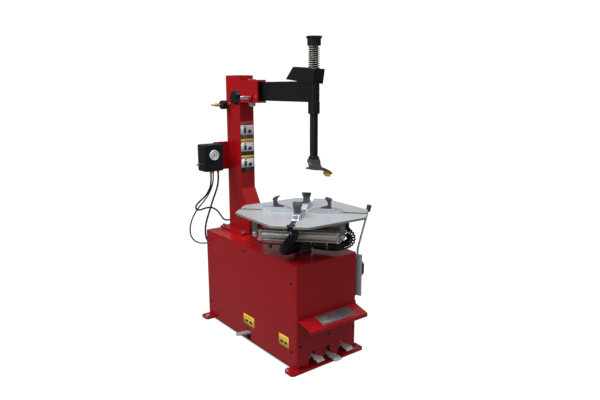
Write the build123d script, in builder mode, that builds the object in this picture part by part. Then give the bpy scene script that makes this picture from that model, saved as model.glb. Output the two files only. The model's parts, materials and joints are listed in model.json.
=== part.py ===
"""Tyre changing machine: cabinet, turntable with four jaws, column, swing arm and bead breaker.

Millimetres, +Z up. The origin is on the floor at the centre of the four floor-anchor holes,
+X is the operator's right and -Y is the side with the pedals.
"""
from build123d import *
import os
from math import cos, sin, tan, radians, pi

os.makedirs("parts", exist_ok=True)

# ---------------------------------------------------------------- driving sizes
running = 0.05            # radial clearance of every running fit

rail_height = 15.0        # the two floor rails
rail_width = 80.0
rail_length = 540.0
rail_y = 481.0
anchor_x = 254.0          # free holes for floor anchors
anchor_y = 498.0
anchor_r = 7.0
foot_bolt_y = 462.0

cab_width = 436.0         # cabinet, outside
cab_length = 998.0
cab_bottom = rail_height
cab_top = 616.0
wall = 4.0
top_sheet = 6.0
skin = 2.0                # removable panels lie this deep in the cabinet's faces
cab_left, cab_right = -cab_width / 2, cab_width / 2
cab_front, cab_rear = -cab_length / 2, cab_length / 2
panel_y0, panel_y1 = -481.0, 497.0
panel_z0, panel_z1 = 18.0, 610.0
cover_z0, cover_z1 = 18.0, 191.0
cover_half = 206.0

column_x = -4.0           # column, a rectangular tube
column_half = 56.0
column_y0, column_y1 = 302.0, 462.0
column_top = 1626.0
base_top = 629.0
base_half = 111.0
base_y0, base_y1 = 210.0, 496.0

table_x, table_y = 0.0, -267.5
table_top = 849.0
table_thick = 12.0
table_flat = 333.5        # centre to a long side
table_corner = 372.4      # centre to a cut corner
slot_angle = -47.8        # direction of the first slot, degrees from +X
slot_width = 30.0
slot_in, slot_out = 48.0, 420.0    # the slots run out through the cut corners

pivot_y = 242.0           # swing arm pivot, on x = 0
pivot_r = 20.0
arm_low, arm_high = 1472.0, 1583.0
arm_half = 30.0
bar_y = -371.0            # vertical tool bar, on x = 0
bar_flats = 41.0
bar_low, bar_high = 1163.0, 1775.0
sleeve_low = 1409.0
sleeve_r = 32.0

pedal_axle_y, pedal_axle_z = -330.0, 66.0
pedal_x = {"pedal_turn": -105.0, "pedal_breaker": 4.0, "pedal_clamp": 114.0}

breaker_hinge = (276.0, 330.0)   # bead breaker arm hinge, x and y
breaker_z = 500.0
rod_y = 60.0
blade_y = -440.0

rear_ports = [(-133, 471), (-150, 499)]   # where two hoses enter the rear wall, x and z

slots = {"right": slot_angle, "back": slot_angle + 90, "left": slot_angle + 180,
         "front": slot_angle + 270}


def outward(angle):
    """Unit vector along a slot, away from the table's centre."""
    return Vector(cos(radians(angle)), sin(radians(angle)), 0)


def flat_plane(angle, height):
    """Horizontal plane on the table's axis with its x along a slot."""
    return Plane(origin=(table_x, table_y, height), x_dir=outward(angle), z_dir=(0, 0, 1))


def upright_plane(angle, across=0.0):
    """Upright plane along a slot, x outward and y up, shifted to the slot's left by across."""
    origin = Vector(table_x, table_y, 0) + outward(angle + 90) * across
    return Plane(origin=origin, x_dir=outward(angle), z_dir=outward(angle - 90))


def cross_plane(angle, across, height, along=0.0):
    """Plane that faces outward along a slot at a height and a distance from the centre."""
    origin = Vector(table_x, table_y, height) + outward(angle + 90) * across
    origin = origin + outward(angle) * along
    return Plane(origin=origin, x_dir=outward(angle + 90), z_dir=outward(angle))


def bend_radii(points):
    """Largest arc at each corner of a hose's route: 0.45 of the shorter run over tan(half turn)."""
    radii = []
    for a, b, c in zip(points, points[1:], points[2:]):
        before, after = Vector(*b) - Vector(*a), Vector(*c) - Vector(*b)
        half_turn = radians(before.get_angle(after)) / 2
        radii.append(0.45 * min(before.length, after.length) / tan(half_turn))
    return radii


# ---------------------------------------------------------------- floor rails and feet
with BuildPart() as base_frame:
    for side in (-1, 1):
        with BuildSketch(Plane.XY):
            with Locations((0, side * rail_y)):
                Rectangle(rail_length, rail_width)
        extrude(amount=rail_height)
    chamfer(base_frame.edges().filter_by(Axis.Z), length=12)
    for side in (-1, 1):
        with BuildSketch(Plane.XY):
            with Locations((0, side * rail_y)):
                Rectangle(2 * 200.0, rail_width - 10)
        extrude(amount=rail_height - 5, mode=Mode.SUBTRACT)
    with Locations(Plane.XY.offset(rail_height)):
        with Locations(*[(x, y) for x in (-anchor_x, anchor_x) for y in (-anchor_y, anchor_y)]):
            Hole(anchor_r)
        with Locations(*[(x, y) for x in (-anchor_x, anchor_x)
                         for y in (-foot_bolt_y, foot_bolt_y)]):
            Hole(6.0 + running)
base_frame.part.label = "base_frame"
export_step(base_frame.part, "parts/base_frame.step")

# ---------------------------------------------------------------- cabinet
with BuildPart() as cabinet_body:
    with BuildSketch(Plane.XY.offset(cab_bottom)):
        RectangleRounded(cab_width, cab_length, 10)
    extrude(amount=cab_top - cab_bottom)
    with BuildSketch(Plane.XY.offset(cab_bottom)):
        Rectangle(cab_width - 2 * wall, cab_length - 2 * wall)
    extrude(amount=cab_top - top_sheet - cab_bottom, mode=Mode.SUBTRACT)
    # shallow recess and opening for the removable left panel
    with BuildSketch(Plane.YZ.offset(cab_left)):
        with Locations(((panel_y0 + panel_y1) / 2, (panel_z0 + panel_z1) / 2)):
            Rectangle(panel_y1 - panel_y0, panel_z1 - panel_z0)
    extrude(amount=skin, mode=Mode.SUBTRACT)
    with BuildSketch(Plane.YZ.offset(cab_left)):
        with Locations((10, 335)):
            Rectangle(860, 380)
        with Locations((-5, 60)):
            Rectangle(80, 80)
    extrude(amount=wall, mode=Mode.SUBTRACT)
    # shallow recess and opening for the front cover
    with BuildSketch(Plane.XZ.offset(-cab_front)):
        with Locations((0, (cover_z0 + cover_z1) / 2)):
            Rectangle(2 * cover_half, cover_z1 - cover_z0)
    extrude(amount=-skin, mode=Mode.SUBTRACT)
    with BuildSketch(Plane.XZ.offset(-cab_front)):
        with Locations((0, 65)):
            Rectangle(340, 88)
    extrude(amount=-wall, mode=Mode.SUBTRACT)
    # slot in the right wall for the bead breaker's rod
    with BuildSketch(Plane.YZ.offset(cab_right - wall)):
        with Locations((rod_y, breaker_z)):
            SlotOverall(70, 50)
    extrude(amount=wall, mode=Mode.SUBTRACT)
    # spindle hole in the top
    with Locations((table_x, table_y, cab_top)):
        Hole(48.0, depth=top_sheet)
    # hose openings in the rear wall
    with BuildSketch(Plane.XZ.offset(-cab_rear)):
        with Locations(*rear_ports):
            Circle(8)
    extrude(amount=wall, mode=Mode.SUBTRACT)
cabinet_body.part.label = "cabinet_body"
export_step(cabinet_body.part, "parts/cabinet_body.step")

with BuildPart() as left_side_panel:
    with BuildSketch(Plane.YZ.offset(cab_left)):
        with Locations(((panel_y0 + panel_y1) / 2, (panel_z0 + panel_z1) / 2)):
            Rectangle(panel_y1 - panel_y0 - 2, panel_z1 - panel_z0 - 2)
        with Locations((-5, 54)):
            Rectangle(46, 68, mode=Mode.SUBTRACT)
    extrude(amount=skin)
    fillet(left_side_panel.edges().filter_by(Axis.Z).group_by(Axis.X)[0], radius=1)
left_side_panel.part.label = "left_side_panel"
export_step(left_side_panel.part, "parts/left_side_panel.step")

with BuildPart() as front_cover:
    with BuildSketch(Plane.XZ.offset(-cab_front)):
        with Locations((0, (cover_z0 + cover_z1) / 2)):
            Rectangle(2 * cover_half - 2, cover_z1 - cover_z0 - 2)
        for x in pedal_x.values():
            with Locations((x, 60)):
                Rectangle(34, 78, mode=Mode.SUBTRACT)
            with Locations((x, 39)):
                Rectangle(60, 36, mode=Mode.SUBTRACT)
    extrude(amount=-skin)
front_cover.part.label = "front_cover"
export_step(front_cover.part, "parts/front_cover.step")

# screws of the two removable panels: domed heads that stand on the skin
side_screws = [(482, 512), (472, 117), (23, 579), (-447, 506), (-444, 106)]
front_screws = [(-195, 150), (-195, 28), (8, 168), (200, 156)]
with BuildPart() as panel_screws:
    with BuildSketch(Plane.YZ.offset(cab_left)):
        with Locations(*side_screws):
            Circle(7)
    extrude(amount=-4)
    with BuildSketch(Plane.XZ.offset(-cab_front)):
        with Locations(*front_screws):
            Circle(7)
    extrude(amount=4)
    fillet(panel_screws.edges().filter_by(GeomType.CIRCLE).group_by(Axis.X)[0], radius=2.5)
    fillet(panel_screws.edges().filter_by(GeomType.CIRCLE).group_by(Axis.Y)[0], radius=2.5)
panel_screws.part.label = "panel_screws"
export_step(panel_screws.part, "parts/panel_screws.step")

# hood over the pedals: one bent plate with a flange on the cabinet and a turned-down lip
hood_x0, hood_x1 = -209.0, 216.0
hood_sheet = 3.0
with BuildPart() as pedal_hood:
    with BuildSketch(Plane.YZ.offset(hood_x0)):
        with BuildLine():
            Polyline((cab_front, 322), (cab_front - hood_sheet, 322),
                     (cab_front - hood_sheet, 305), (-601, 276), (-601, 254),
                     (-601 + hood_sheet, 254), (-601 + hood_sheet, 273),
                     (cab_front, 301.5), (cab_front, 322))
        make_face()
    extrude(amount=hood_x1 - hood_x0)
    fillet(pedal_hood.edges().filter_by(Axis.X).group_by(Axis.Y)[0].sort_by(Axis.Z)[-1],
           radius=2.5)
pedal_hood.part.label = "pedal_hood"
export_step(pedal_hood.part, "parts/pedal_hood.step")

# ---------------------------------------------------------------- column
with BuildPart() as column:
    with BuildSketch(Plane.XY.offset(cab_top)):
        with Locations((column_x, (base_y0 + base_y1) / 2)):
            RectangleRounded(2 * base_half, base_y1 - base_y0, 8)
    extrude(amount=base_top - cab_top)
    with BuildSketch(Plane.XY.offset(base_top)):
        with Locations((column_x, (column_y0 + column_y1) / 2)):
            RectangleRounded(2 * column_half, column_y1 - column_y0, 8)
    extrude(amount=column_top - base_top)
    # boxed gusset on the front of the tube
    with BuildSketch(Plane.YZ.offset(column_x)):
        Polygon((column_y0 + 8, 905), (column_y0 - 2, 905), (216, 765), (216, base_top),
                (column_y0 + 8, base_top), align=None)
    extrude(amount=column_half - 3, both=True)
    # the tube and the gusset are hollow
    with BuildSketch(Plane.XY.offset(cab_top)):
        with Locations((column_x, (column_y0 + column_y1) / 2)):
            Rectangle(2 * column_half - 12, column_y1 - column_y0 - 12)
    extrude(amount=column_top - 6 - cab_top, mode=Mode.SUBTRACT)
    with BuildSketch(Plane.YZ.offset(column_x)):
        Polygon((column_y0 - 1, 885), (column_y0 - 6, 885), (224, 760), (224, cab_top),
                (column_y0 - 1, cab_top), align=None)
    extrude(amount=column_half - 9, both=True, mode=Mode.SUBTRACT)
    with Locations(Plane.XY.offset(base_top)):
        with Locations(*[(x, y) for x in (-93, 93) for y in (228, 478)]):
            Hole(8 + running, depth=base_top - cab_top)
column.part.label = "column"
export_step(column.part, "parts/column.step")

# hexagon bolts: column base, cabinet top and the two left feet
with BuildPart() as frame_bolts:
    for x in (-93, 93):
        for y in (228, 478):
            with BuildSketch(Plane.XY.offset(base_top)):
                with Locations((x, y)):
                    Circle(14)
            extrude(amount=2.5)
            with BuildSketch(Plane.XY.offset(base_top + 2.5)):
                with Locations((x, y)):
                    RegularPolygon(radius=12, side_count=6, major_radius=False)
            extrude(amount=9)
            with BuildSketch(Plane.XY.offset(cab_top)):
                with Locations((x, y)):
                    Circle(8)
            extrude(amount=base_top - cab_top)
    for x, y in ((-169, 442), (-140, 440)):
        with BuildSketch(Plane.XY.offset(cab_top)):
            with Locations((x, y)):
                RegularPolygon(radius=8, side_count=6, major_radius=False)
        extrude(amount=7)
    for x in (-anchor_x, anchor_x):
        for y in (-foot_bolt_y, foot_bolt_y):
            with BuildSketch(Plane.XY.offset(2)):
                with Locations((x, y)):
                    Circle(6)
            extrude(amount=rail_height - 2)
            with BuildSketch(Plane.XY.offset(rail_height)):
                with Locations((x, y)):
                    Circle(12)
            extrude(amount=2)
            with BuildSketch(Plane.XY.offset(rail_height + 2)):
                with Locations((x, y)):
                    RegularPolygon(radius=9.5, side_count=6, major_radius=False)
            extrude(amount=9 if x < 0 else 4)
frame_bolts.part.label = "frame_bolts"
export_step(frame_bolts.part, "parts/frame_bolts.step")

# ---------------------------------------------------------------- swing arm bracket and pivot
bracket_low, bracket_high = 1459.0, 1595.0
plate = 11.0
with BuildPart() as arm_bracket:
    for height in (bracket_low, bracket_high - plate):
        with BuildSketch(Plane.XY.offset(height)):
            with BuildLine():
                Polyline((-66, column_y0), (-66, 84), (-14, 66), (58, 190), (58, column_y0),
                         (-66, column_y0))
            make_face()
        extrude(amount=plate)
    with BuildSketch(Plane.XY.offset(bracket_low)):
        with Locations((-60.5, (column_y0 + 84) / 2)):
            Rectangle(11, column_y0 - 84)
    extrude(amount=bracket_high - bracket_low)
    # lug that carries the stop screw
    with BuildSketch(Plane.YZ.offset(-78)):
        with Locations((155, 1490)):
            RectangleRounded(40, 34, 6)
    extrude(amount=12)
    with BuildSketch(Plane.YZ.offset(-80)):
        with Locations((155, 1490)):
            Circle(10 + running)
    extrude(amount=30, mode=Mode.SUBTRACT)
    with BuildSketch(Plane.XY.offset(bracket_low - 1)):
        with Locations((0, pivot_y)):
            Circle(pivot_r + running)
    extrude(amount=bracket_high - bracket_low + 2, mode=Mode.SUBTRACT)
arm_bracket.part.label = "arm_bracket"
export_step(arm_bracket.part, "parts/arm_bracket.step")

with BuildPart() as pivot_pin:
    with BuildSketch(Plane.XY.offset(bracket_low - 24)):
        with Locations((0, pivot_y)):
            Circle(pivot_r)
    extrude(amount=bracket_high - bracket_low + 24)
    with BuildSketch(Plane.XY.offset(bracket_high)):
        with Locations((0, pivot_y)):
            RegularPolygon(radius=24, side_count=6, major_radius=False)
    extrude(amount=6)
    with BuildSketch(Plane.XY.offset(bracket_low - 3)):
        with Locations((0, pivot_y)):
            Circle(26)
    extrude(amount=3)
    with BuildSketch(Plane.XY.offset(bracket_low - 19)):
        with Locations((0, pivot_y)):
            RegularPolygon(radius=21, side_count=6, major_radius=False)
    extrude(amount=16)
pivot_pin.part.label = "pivot_pin"
export_step(pivot_pin.part, "parts/pivot_pin.step")

# stop screw: sets where the arm stops, with a lobed hand knob
with BuildPart() as stop_screw:
    with BuildSketch(Plane.YZ.offset(-arm_half - 0.5)):
        with Locations((155, 1490)):
            Circle(10)
    extrude(amount=-142)
stop_screw.part.label = "stop_screw"
export_step(stop_screw.part, "parts/stop_screw.step")

with BuildPart() as star_knob:
    with BuildSketch(Plane.YZ.offset(-188)):
        with Locations((155, 1490)):
            Circle(36)
            with PolarLocations(34, 7):
                Circle(10)
    extrude(amount=26)
    with BuildSketch(Plane.YZ.offset(-162)):
        with Locations((155, 1490)):
            Circle(18)
    extrude(amount=8)
    with BuildSketch(Plane.YZ.offset(-173)):
        with Locations((155, 1490)):
            Circle(10)
    extrude(amount=20, mode=Mode.SUBTRACT)
star_knob.part.label = "star_knob"
export_step(star_knob.part, "parts/star_knob.step")

# ---------------------------------------------------------------- swing arm
lug_y = bar_y + 75            # pivot of the bar lock, behind the bar
lug_z = 1602.0
with BuildPart() as arm_beam:
    with BuildSketch(Plane.XY.offset(arm_low)):
        with Locations((0, pivot_y)):
            Circle(52)
        with Locations((0, (pivot_y + bar_y) / 2)):
            Rectangle(2 * arm_half, pivot_y - bar_y)
        with Locations((0, bar_y)):
            Circle(arm_half)
    extrude(amount=arm_high - arm_low)
    # the beam is a hollow box between the pivot and the sleeve
    with BuildSketch(Plane.YZ):
        with Locations(((pivot_y + bar_y) / 2, (arm_low + arm_high) / 2)):
            Rectangle(pivot_y - bar_y - 110, arm_high - arm_low - 12)
    extrude(amount=arm_half - 6, both=True, mode=Mode.SUBTRACT)
    # drain hole under the beam
    with BuildSketch(Plane.XY.offset(arm_low - 1)):
        with Locations((0, -60)):
            Circle(5)
    extrude(amount=10, mode=Mode.SUBTRACT)
    # sleeve that guides the bar, tapered at its lower end
    with BuildSketch(Plane.XY.offset(sleeve_low)):
        with Locations((0, bar_y)):
            Circle(sleeve_r)
    extrude(amount=arm_low - sleeve_low)
    chamfer(arm_beam.edges().filter_by(GeomType.CIRCLE).sort_by(Axis.Z)[0], length=4)
    # lugs for the bar lock
    for x in (-23, 17):
        with BuildSketch(Plane.YZ.offset(x)):
            with Locations((lug_y, lug_z)):
                Circle(11)
            with Locations((lug_y, (lug_z + arm_high) / 2 - 0.5)):
                Rectangle(22, lug_z - arm_high + 1)
        extrude(amount=6)
    with BuildSketch(Plane.YZ.offset(-30)):
        with Locations((lug_y, lug_z)):
            Circle(6 + running)
    extrude(amount=60, mode=Mode.SUBTRACT)
    with BuildSketch(Plane.XY.offset(sleeve_low - 1)):
        with Locations((0, bar_y)):
            RegularPolygon(radius=bar_flats / 2 + running, side_count=6, major_radius=False)
    extrude(amount=arm_high - sleeve_low + 2, mode=Mode.SUBTRACT)
    with BuildSketch(Plane.XY.offset(arm_low - 1)):
        with Locations((0, pivot_y)):
            Circle(pivot_r + running)
    extrude(amount=arm_high - arm_low + 2, mode=Mode.SUBTRACT)
arm_beam.part.label = "arm_beam"
export_step(arm_beam.part, "parts/arm_beam.step")

# bar lock: a folded sheet handle that straddles the arm and tilts on a pin in the lugs
lock_tilt = 4.7
lock_sheet = 3.5
lock_half = 35.0
lock_top = [(-49, 0), (140, 0), (204, -72), (-40, -79)]


def tilted(points):
    """The lock's outline, turned nose up about the bar's axis at the top sheet."""
    c, s = cos(radians(lock_tilt)), sin(radians(lock_tilt))
    return [(bar_y + u * c - w * s, 1650 + u * s + w * c) for u, w in points]


with BuildPart() as lock_plate:
    with BuildSketch(Plane.YZ):
        Polygon(*tilted(lock_top), align=None)
    extrude(amount=lock_half, both=True)
    with BuildSketch(Plane.YZ):
        Polygon(*tilted([(-45.5, -3.5), (138.3, -3.5), (213, -87.5), (205, -110), (-60, -110),
                         (-60, -64), (-40.1, -64)]), align=None)
    extrude(amount=lock_half - lock_sheet, both=True, mode=Mode.SUBTRACT)
    # opening for the bar and its spring
    with BuildSketch(Plane.XY.offset(1600)):
        with Locations((0, bar_y)):
            SlotOverall(74, 62, rotation=90)
    extrude(amount=80, mode=Mode.SUBTRACT)
    # pin through the lugs
    with BuildSketch(Plane.YZ.offset(-lock_half)):
        with Locations((lug_y, lug_z)):
            Circle(6)
    extrude(amount=2 * lock_half)
lock_plate.part.label = "lock_plate"
export_step(lock_plate.part, "parts/lock_plate.step")

with BuildPart() as hex_bar:
    with BuildSketch(Plane.XY.offset(bar_low)):
        with Locations((0, bar_y)):
            RegularPolygon(radius=bar_flats / 2, side_count=6, major_radius=False)
    extrude(amount=bar_high - bar_low)
    with BuildSketch(Plane.XY.offset(bar_low)):
        with Locations((0, bar_y)):
            Circle(30)
    extrude(amount=14)
    chamfer(hex_bar.edges().filter_by(GeomType.CIRCLE), length=2)
hex_bar.part.label = "hex_bar"
export_step(hex_bar.part, "parts/hex_bar.step")

# cap on top of the bar: a cup with a flared rim
cap_low, cap_high = 1767.0, 1816.0
with BuildPart() as bar_cap:
    with BuildSketch(Plane.XZ.offset(-bar_y)):
        with BuildLine():
            Polyline((0, cap_low), (34, cap_low), (36.5, cap_low + 3), (36.5, cap_high - 14),
                     (43, cap_high - 9), (43, cap_high - 3), (40, cap_high), (0, cap_high),
                     (0, cap_low))
        make_face()
    revolve(axis=Axis((0, bar_y, 0), (0, 0, 1)))
    with BuildSketch(Plane.XY.offset(cap_low - 1)):
        with Locations((0, bar_y)):
            RegularPolygon(radius=bar_flats / 2 + running, side_count=6, major_radius=False)
    extrude(amount=bar_high - cap_low + 1, mode=Mode.SUBTRACT)
bar_cap.part.label = "bar_cap"
export_step(bar_cap.part, "parts/bar_cap.step")

# return spring between the arm and the cap
spring_r, spring_wire, spring_pitch = 28.0, 2.9, 11.3
spring_low, spring_high = arm_high + spring_wire, cap_low - spring_wire
with BuildPart() as bar_spring:
    with BuildLine() as coil:
        Helix(spring_pitch, spring_high - spring_low, spring_r, center=(0, bar_y, spring_low))
    with BuildSketch(Plane(origin=coil.line @ 0, z_dir=coil.line % 0)):
        Circle(spring_wire)
    sweep(path=coil.line, is_frenet=True)
bar_spring.part.label = "bar_spring"
export_step(bar_spring.part, "parts/bar_spring.step")

# mount head under the bar: a curved foot with a nose to one side
with BuildPart() as mount_head:
    with BuildSketch(Plane.XZ.offset(-bar_y)):
        with BuildLine():
            Polyline((-30, bar_low), (27, bar_low), (31, 1150), (34, 1128), (44, 1115))
            Spline((44, 1115), (75, 1103), (104, 1088), (122, 1070),
                   tangents=((1, -0.3), (0.5, -1)))
            Polyline((122, 1070), (112, 1068))
            Spline((112, 1068), (88, 1084), (50, 1094), (0, 1101),
                   tangents=((-0.5, 0.8), (-1, 0.05)))
            Polyline((0, 1101), (-41, 1109), (-41, 1116), (-18, 1120), (-26, 1140), (-31, 1146),
                     (-30, bar_low))
        make_face()
    extrude(amount=21, both=True)
    fillet(mount_head.edges().filter_by(Axis.Y).sort_by(Axis.X)[-2:], radius=3)
mount_head.part.label = "mount_head"
export_step(mount_head.part, "parts/mount_head.step")

with BuildPart() as head_insert:
    with BuildSketch(Plane.XZ.offset(-bar_y)):
        Polygon((80, 1072), (96, 1055), (104, 1054), (111, 1066.5), (100, 1074), (86, 1084),
                align=None)
    extrude(amount=17, both=True)
    with BuildSketch(Plane.XZ.offset(-bar_y)):
        with BuildLine():
            Spline((112.5, 1067), (88, 1083.8), (50, 1093.8), (0, 1100.5),
                   tangents=((-0.5, 0.8), (-1, 0.05)))
            Polyline((0, 1100.5), (0, 1140), (130, 1140), (130, 1067), (112.5, 1067))
        make_face()
    extrude(amount=25, both=True, mode=Mode.SUBTRACT)
head_insert.part.label = "head_insert"
export_step(head_insert.part, "parts/head_insert.step")

# ---------------------------------------------------------------- turntable
with BuildPart() as table_plate:
    with BuildSketch(flat_plane(slot_angle, table_top - table_thick)):
        Rectangle(2 * table_flat, 2 * table_flat, rotation=45)
        Rectangle(2 * table_corner, 2 * table_corner, mode=Mode.INTERSECT)
        fillet(vertices(), radius=22)
        for turn in range(4):
            with Locations(Location((0, 0, 0), (0, 0, 90 * turn))):
                with Locations(((slot_in + slot_out) / 2, 0)):
                    SlotOverall(slot_out - slot_in, slot_width, mode=Mode.SUBTRACT)
        Circle(20, mode=Mode.SUBTRACT)
    extrude(amount=table_thick)
table_plate.part.label = "table_plate"
export_step(table_plate.part, "parts/table_plate.step")

hub_r, shaft_r = 44.0, 38.0
with BuildPart() as spindle:
    with BuildSketch(Plane.XY.offset(815)):
        with Locations((table_x, table_y)):
            Circle(hub_r)
    extrude(amount=table_top - table_thick - 815)
    with BuildSketch(Plane.XY.offset(420)):
        with Locations((table_x, table_y)):
            Circle(shaft_r)
    extrude(amount=815 - 420)
    with BuildSketch(Plane.XY.offset(table_top - table_thick)):
        with Locations((table_x, table_y)):
            Circle(20 - running)
    extrude(amount=table_thick + 4)
    # worm wheel, its pitch cylinder
    with BuildSketch(Plane.XY.offset(452)):
        with Locations((table_x, table_y)):
            Circle(92)
    extrude(amount=34)
spindle.part.label = "spindle"
export_step(spindle.part, "parts/spindle.step")

with BuildPart() as rotary_coupling:
    with BuildSketch(Plane.XZ.offset(-table_y)):
        with BuildLine():
            Polyline((shaft_r + running, 622), (55, 622), (55, 636), (50, 640), (50, 676),
                     (55, 680), (55, 694), (51, 698), (shaft_r + running, 698),
                     (shaft_r + running, 622))
        make_face()
    revolve(axis=Axis((table_x, table_y, 0), (0, 0, 1)))
rotary_coupling.part.label = "rotary_coupling"
export_step(rotary_coupling.part, "parts/rotary_coupling.step")

# slides with their covers; the left and right ones carry the clamping cylinders
cover_in, cover_out = 35.0, 240.0
cover_high = 872.0
cover_half_width = 20.0
cover_sheet = 2.5
clear = 0.5
block_half = slot_width / 2 - running
beam_u = 249.0
cyl_across, cyl_z = 125.0, 738.0
tube_r, tube_in = 31.0, 26.0
rod_r = 10.0
for name, angle in slots.items():
    along = name in ("left", "right")
    low = table_top + clear
    with BuildPart() as slide:
        with BuildSketch(upright_plane(angle)):
            Polygon((cover_in, low), (90, cover_high), (197, cover_high), (cover_out, low),
                    align=None)
        extrude(amount=cover_half_width, both=True)
        with BuildSketch(upright_plane(angle)):
            Polygon((cover_in + 8, low), (92, cover_high - cover_sheet),
                    (195, cover_high - cover_sheet), (cover_out - 7, low), align=None)
        extrude(amount=cover_half_width - cover_sheet, both=True, mode=Mode.SUBTRACT)
        with BuildSketch(flat_plane(angle, low)):
            with Locations((145, 25), (145, -25)):
                Rectangle(170, 18 - 2 * 2)
        extrude(amount=2)
        # guide block through the slot and the keeper plate under the table
        with BuildSketch(flat_plane(angle, 826)):
            with Locations((153, 0)):
                Rectangle(154, 2 * block_half)
        extrude(amount=cover_high - cover_sheet - 826)
        with BuildSketch(flat_plane(angle, 826)):
            with Locations(((60 + 262) / 2, 0)):
                Rectangle(262 - 60, 60)
        extrude(amount=table_top - table_thick - clear - 826)
        if along:
            # cross beam, clevis plates and pivot bolts of the two cylinders
            with BuildSketch(flat_plane(angle, 814)):
                with Locations((beam_u, 0)):
                    Rectangle(26, 300)
            extrude(amount=12)
            for across in (-cyl_across, cyl_across):
                for offset in (-13.5, 13.5):
                    with BuildSketch(upright_plane(angle, across + offset)):
                        with Locations((248, cyl_z)):
                            Circle(14)
                        with Locations((248, (cyl_z + 814) / 2)):
                            Rectangle(28, 814 - cyl_z)
                    extrude(amount=2.5, both=True)
                with BuildSketch(upright_plane(angle, across)):
                    with Locations((248, cyl_z)):
                        Circle(6)
                extrude(amount=19, both=True)
                for offset in (-20, 20):
                    with BuildSketch(upright_plane(angle, across + offset)):
                        with Locations((248, cyl_z)):
                            RegularPolygon(radius=9.5, side_count=6, major_radius=False)
                    extrude(amount=4, both=True)
            # piston rod that reaches into the opposite slide's cylinder
            with BuildSketch(upright_plane(angle, cyl_across)):
                with Locations((248, cyl_z)):
                    Circle(13)
                with Locations((240, cyl_z)):
                    Rectangle(14, 24)
                with Locations((248, cyl_z)):
                    Circle(6, mode=Mode.SUBTRACT)
            extrude(amount=10, both=True)
            with BuildSketch(cross_plane(angle, cyl_across, cyl_z, 234)):
                Circle(rod_r)
            extrude(amount=-(234 + 155))
            with BuildSketch(cross_plane(angle, cyl_across, cyl_z, -150)):
                Circle(tube_in - running)
            extrude(amount=-20)
        # port that feeds a coiled hose
        if name in ("right", "front"):
            with BuildSketch(flat_plane(angle, 805)):
                with Locations((249, -62 if name == "right" else 0)):
                    Circle(12)
            extrude(amount=22)
    slide.part.label = f"slide_{name}"
    export_step(slide.part, f"parts/slide_{name}.step")

    # jaw: a ramp towards the centre and an upright hook with a flared top
    with BuildPart() as jaw:
        with BuildSketch(upright_plane(angle)):
            Polygon((108, cover_high), (168, cover_high), (166, 908), (171, 918), (168, 924),
                    (140, 933), (134, 932), (147, 917), (152, 902), (148, 889), (138, 881),
                    (109, 875), align=None)
        extrude(amount=28, both=True)
        with BuildSketch(cross_plane(angle, 0, 0, 95)):
            Polygon((-18, cover_high), (18, cover_high), (20, 900), (26, 915), (26, 940),
                    (-26, 940), (-26, 915), (-20, 900), align=None)
        extrude(amount=90, mode=Mode.INTERSECT)
        # grip rows across the outer edge of the top
        with BuildSketch(upright_plane(angle)):
            for step in range(3):
                with Locations((171.2 - 1.6 * step, 919 - 3.6 * step)):
                    Circle(1.3)
        extrude(amount=28, both=True, mode=Mode.SUBTRACT)
    jaw.part.label = f"jaw_{name}"
    export_step(jaw.part, f"parts/jaw_{name}.step")

    if along:
        # clamping cylinder on this slide: tube, end caps, tie rods and eye
        twin = "front" if name == "right" else "rear"
        with BuildPart() as cylinder:
            with BuildSketch(cross_plane(angle, -cyl_across, cyl_z, -206)):
                Circle(tube_r)
            extrude(amount=206 + 216)
            for start in (-222, 216):
                with BuildSketch(cross_plane(angle, -cyl_across, cyl_z, start)):
                    RectangleRounded(66, 66, 6)
                extrude(amount=16)
            with BuildSketch(cross_plane(angle, -cyl_across, cyl_z, -228)):
                with GridLocations(52, 52, 2, 2):
                    Circle(4)
            extrude(amount=228 + 238)
            with BuildSketch(upright_plane(angle, -cyl_across)):
                with Locations((248, cyl_z)):
                    Circle(13)
                with Locations((238, cyl_z)):
                    Rectangle(16, 24)
                with Locations((248, cyl_z)):
                    Circle(6 + running, mode=Mode.SUBTRACT)
            extrude(amount=10, both=True)
            with BuildSketch(cross_plane(angle, -cyl_across, cyl_z, -206)):
                Circle(tube_in)
            extrude(amount=206 + 214, mode=Mode.SUBTRACT)
            with BuildSketch(cross_plane(angle, -cyl_across, cyl_z, -230)):
                Circle(rod_r + running)
            extrude(amount=30, mode=Mode.SUBTRACT)
        cylinder.part.label = f"clamp_cylinder_{twin}"
        export_step(cylinder.part, f"parts/clamp_cylinder_{twin}.step")

# ---------------------------------------------------------------- gauge box and fittings
column_left = column_x - column_half
gauge_x, gauge_z = -221.0, 1132.0
box_x0, box_x1 = -290.0, -155.0
box_y0, box_y1 = 352.0, 439.0
box_z0, box_z1 = 1028.0, 1198.0

with BuildPart() as gauge_bracket:
    with BuildSketch(Plane.XY.offset(1022)):
        with Locations(((box_x1 - 20 + column_left) / 2, box_y1 + 2)):
            Rectangle(column_left - box_x1 + 20, 4)
        with Locations((column_left - 1.5, 411)):
            Rectangle(3, 64)
    extrude(amount=1204 - 1022)
gauge_bracket.part.label = "gauge_bracket"
export_step(gauge_bracket.part, "parts/gauge_bracket.step")

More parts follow.
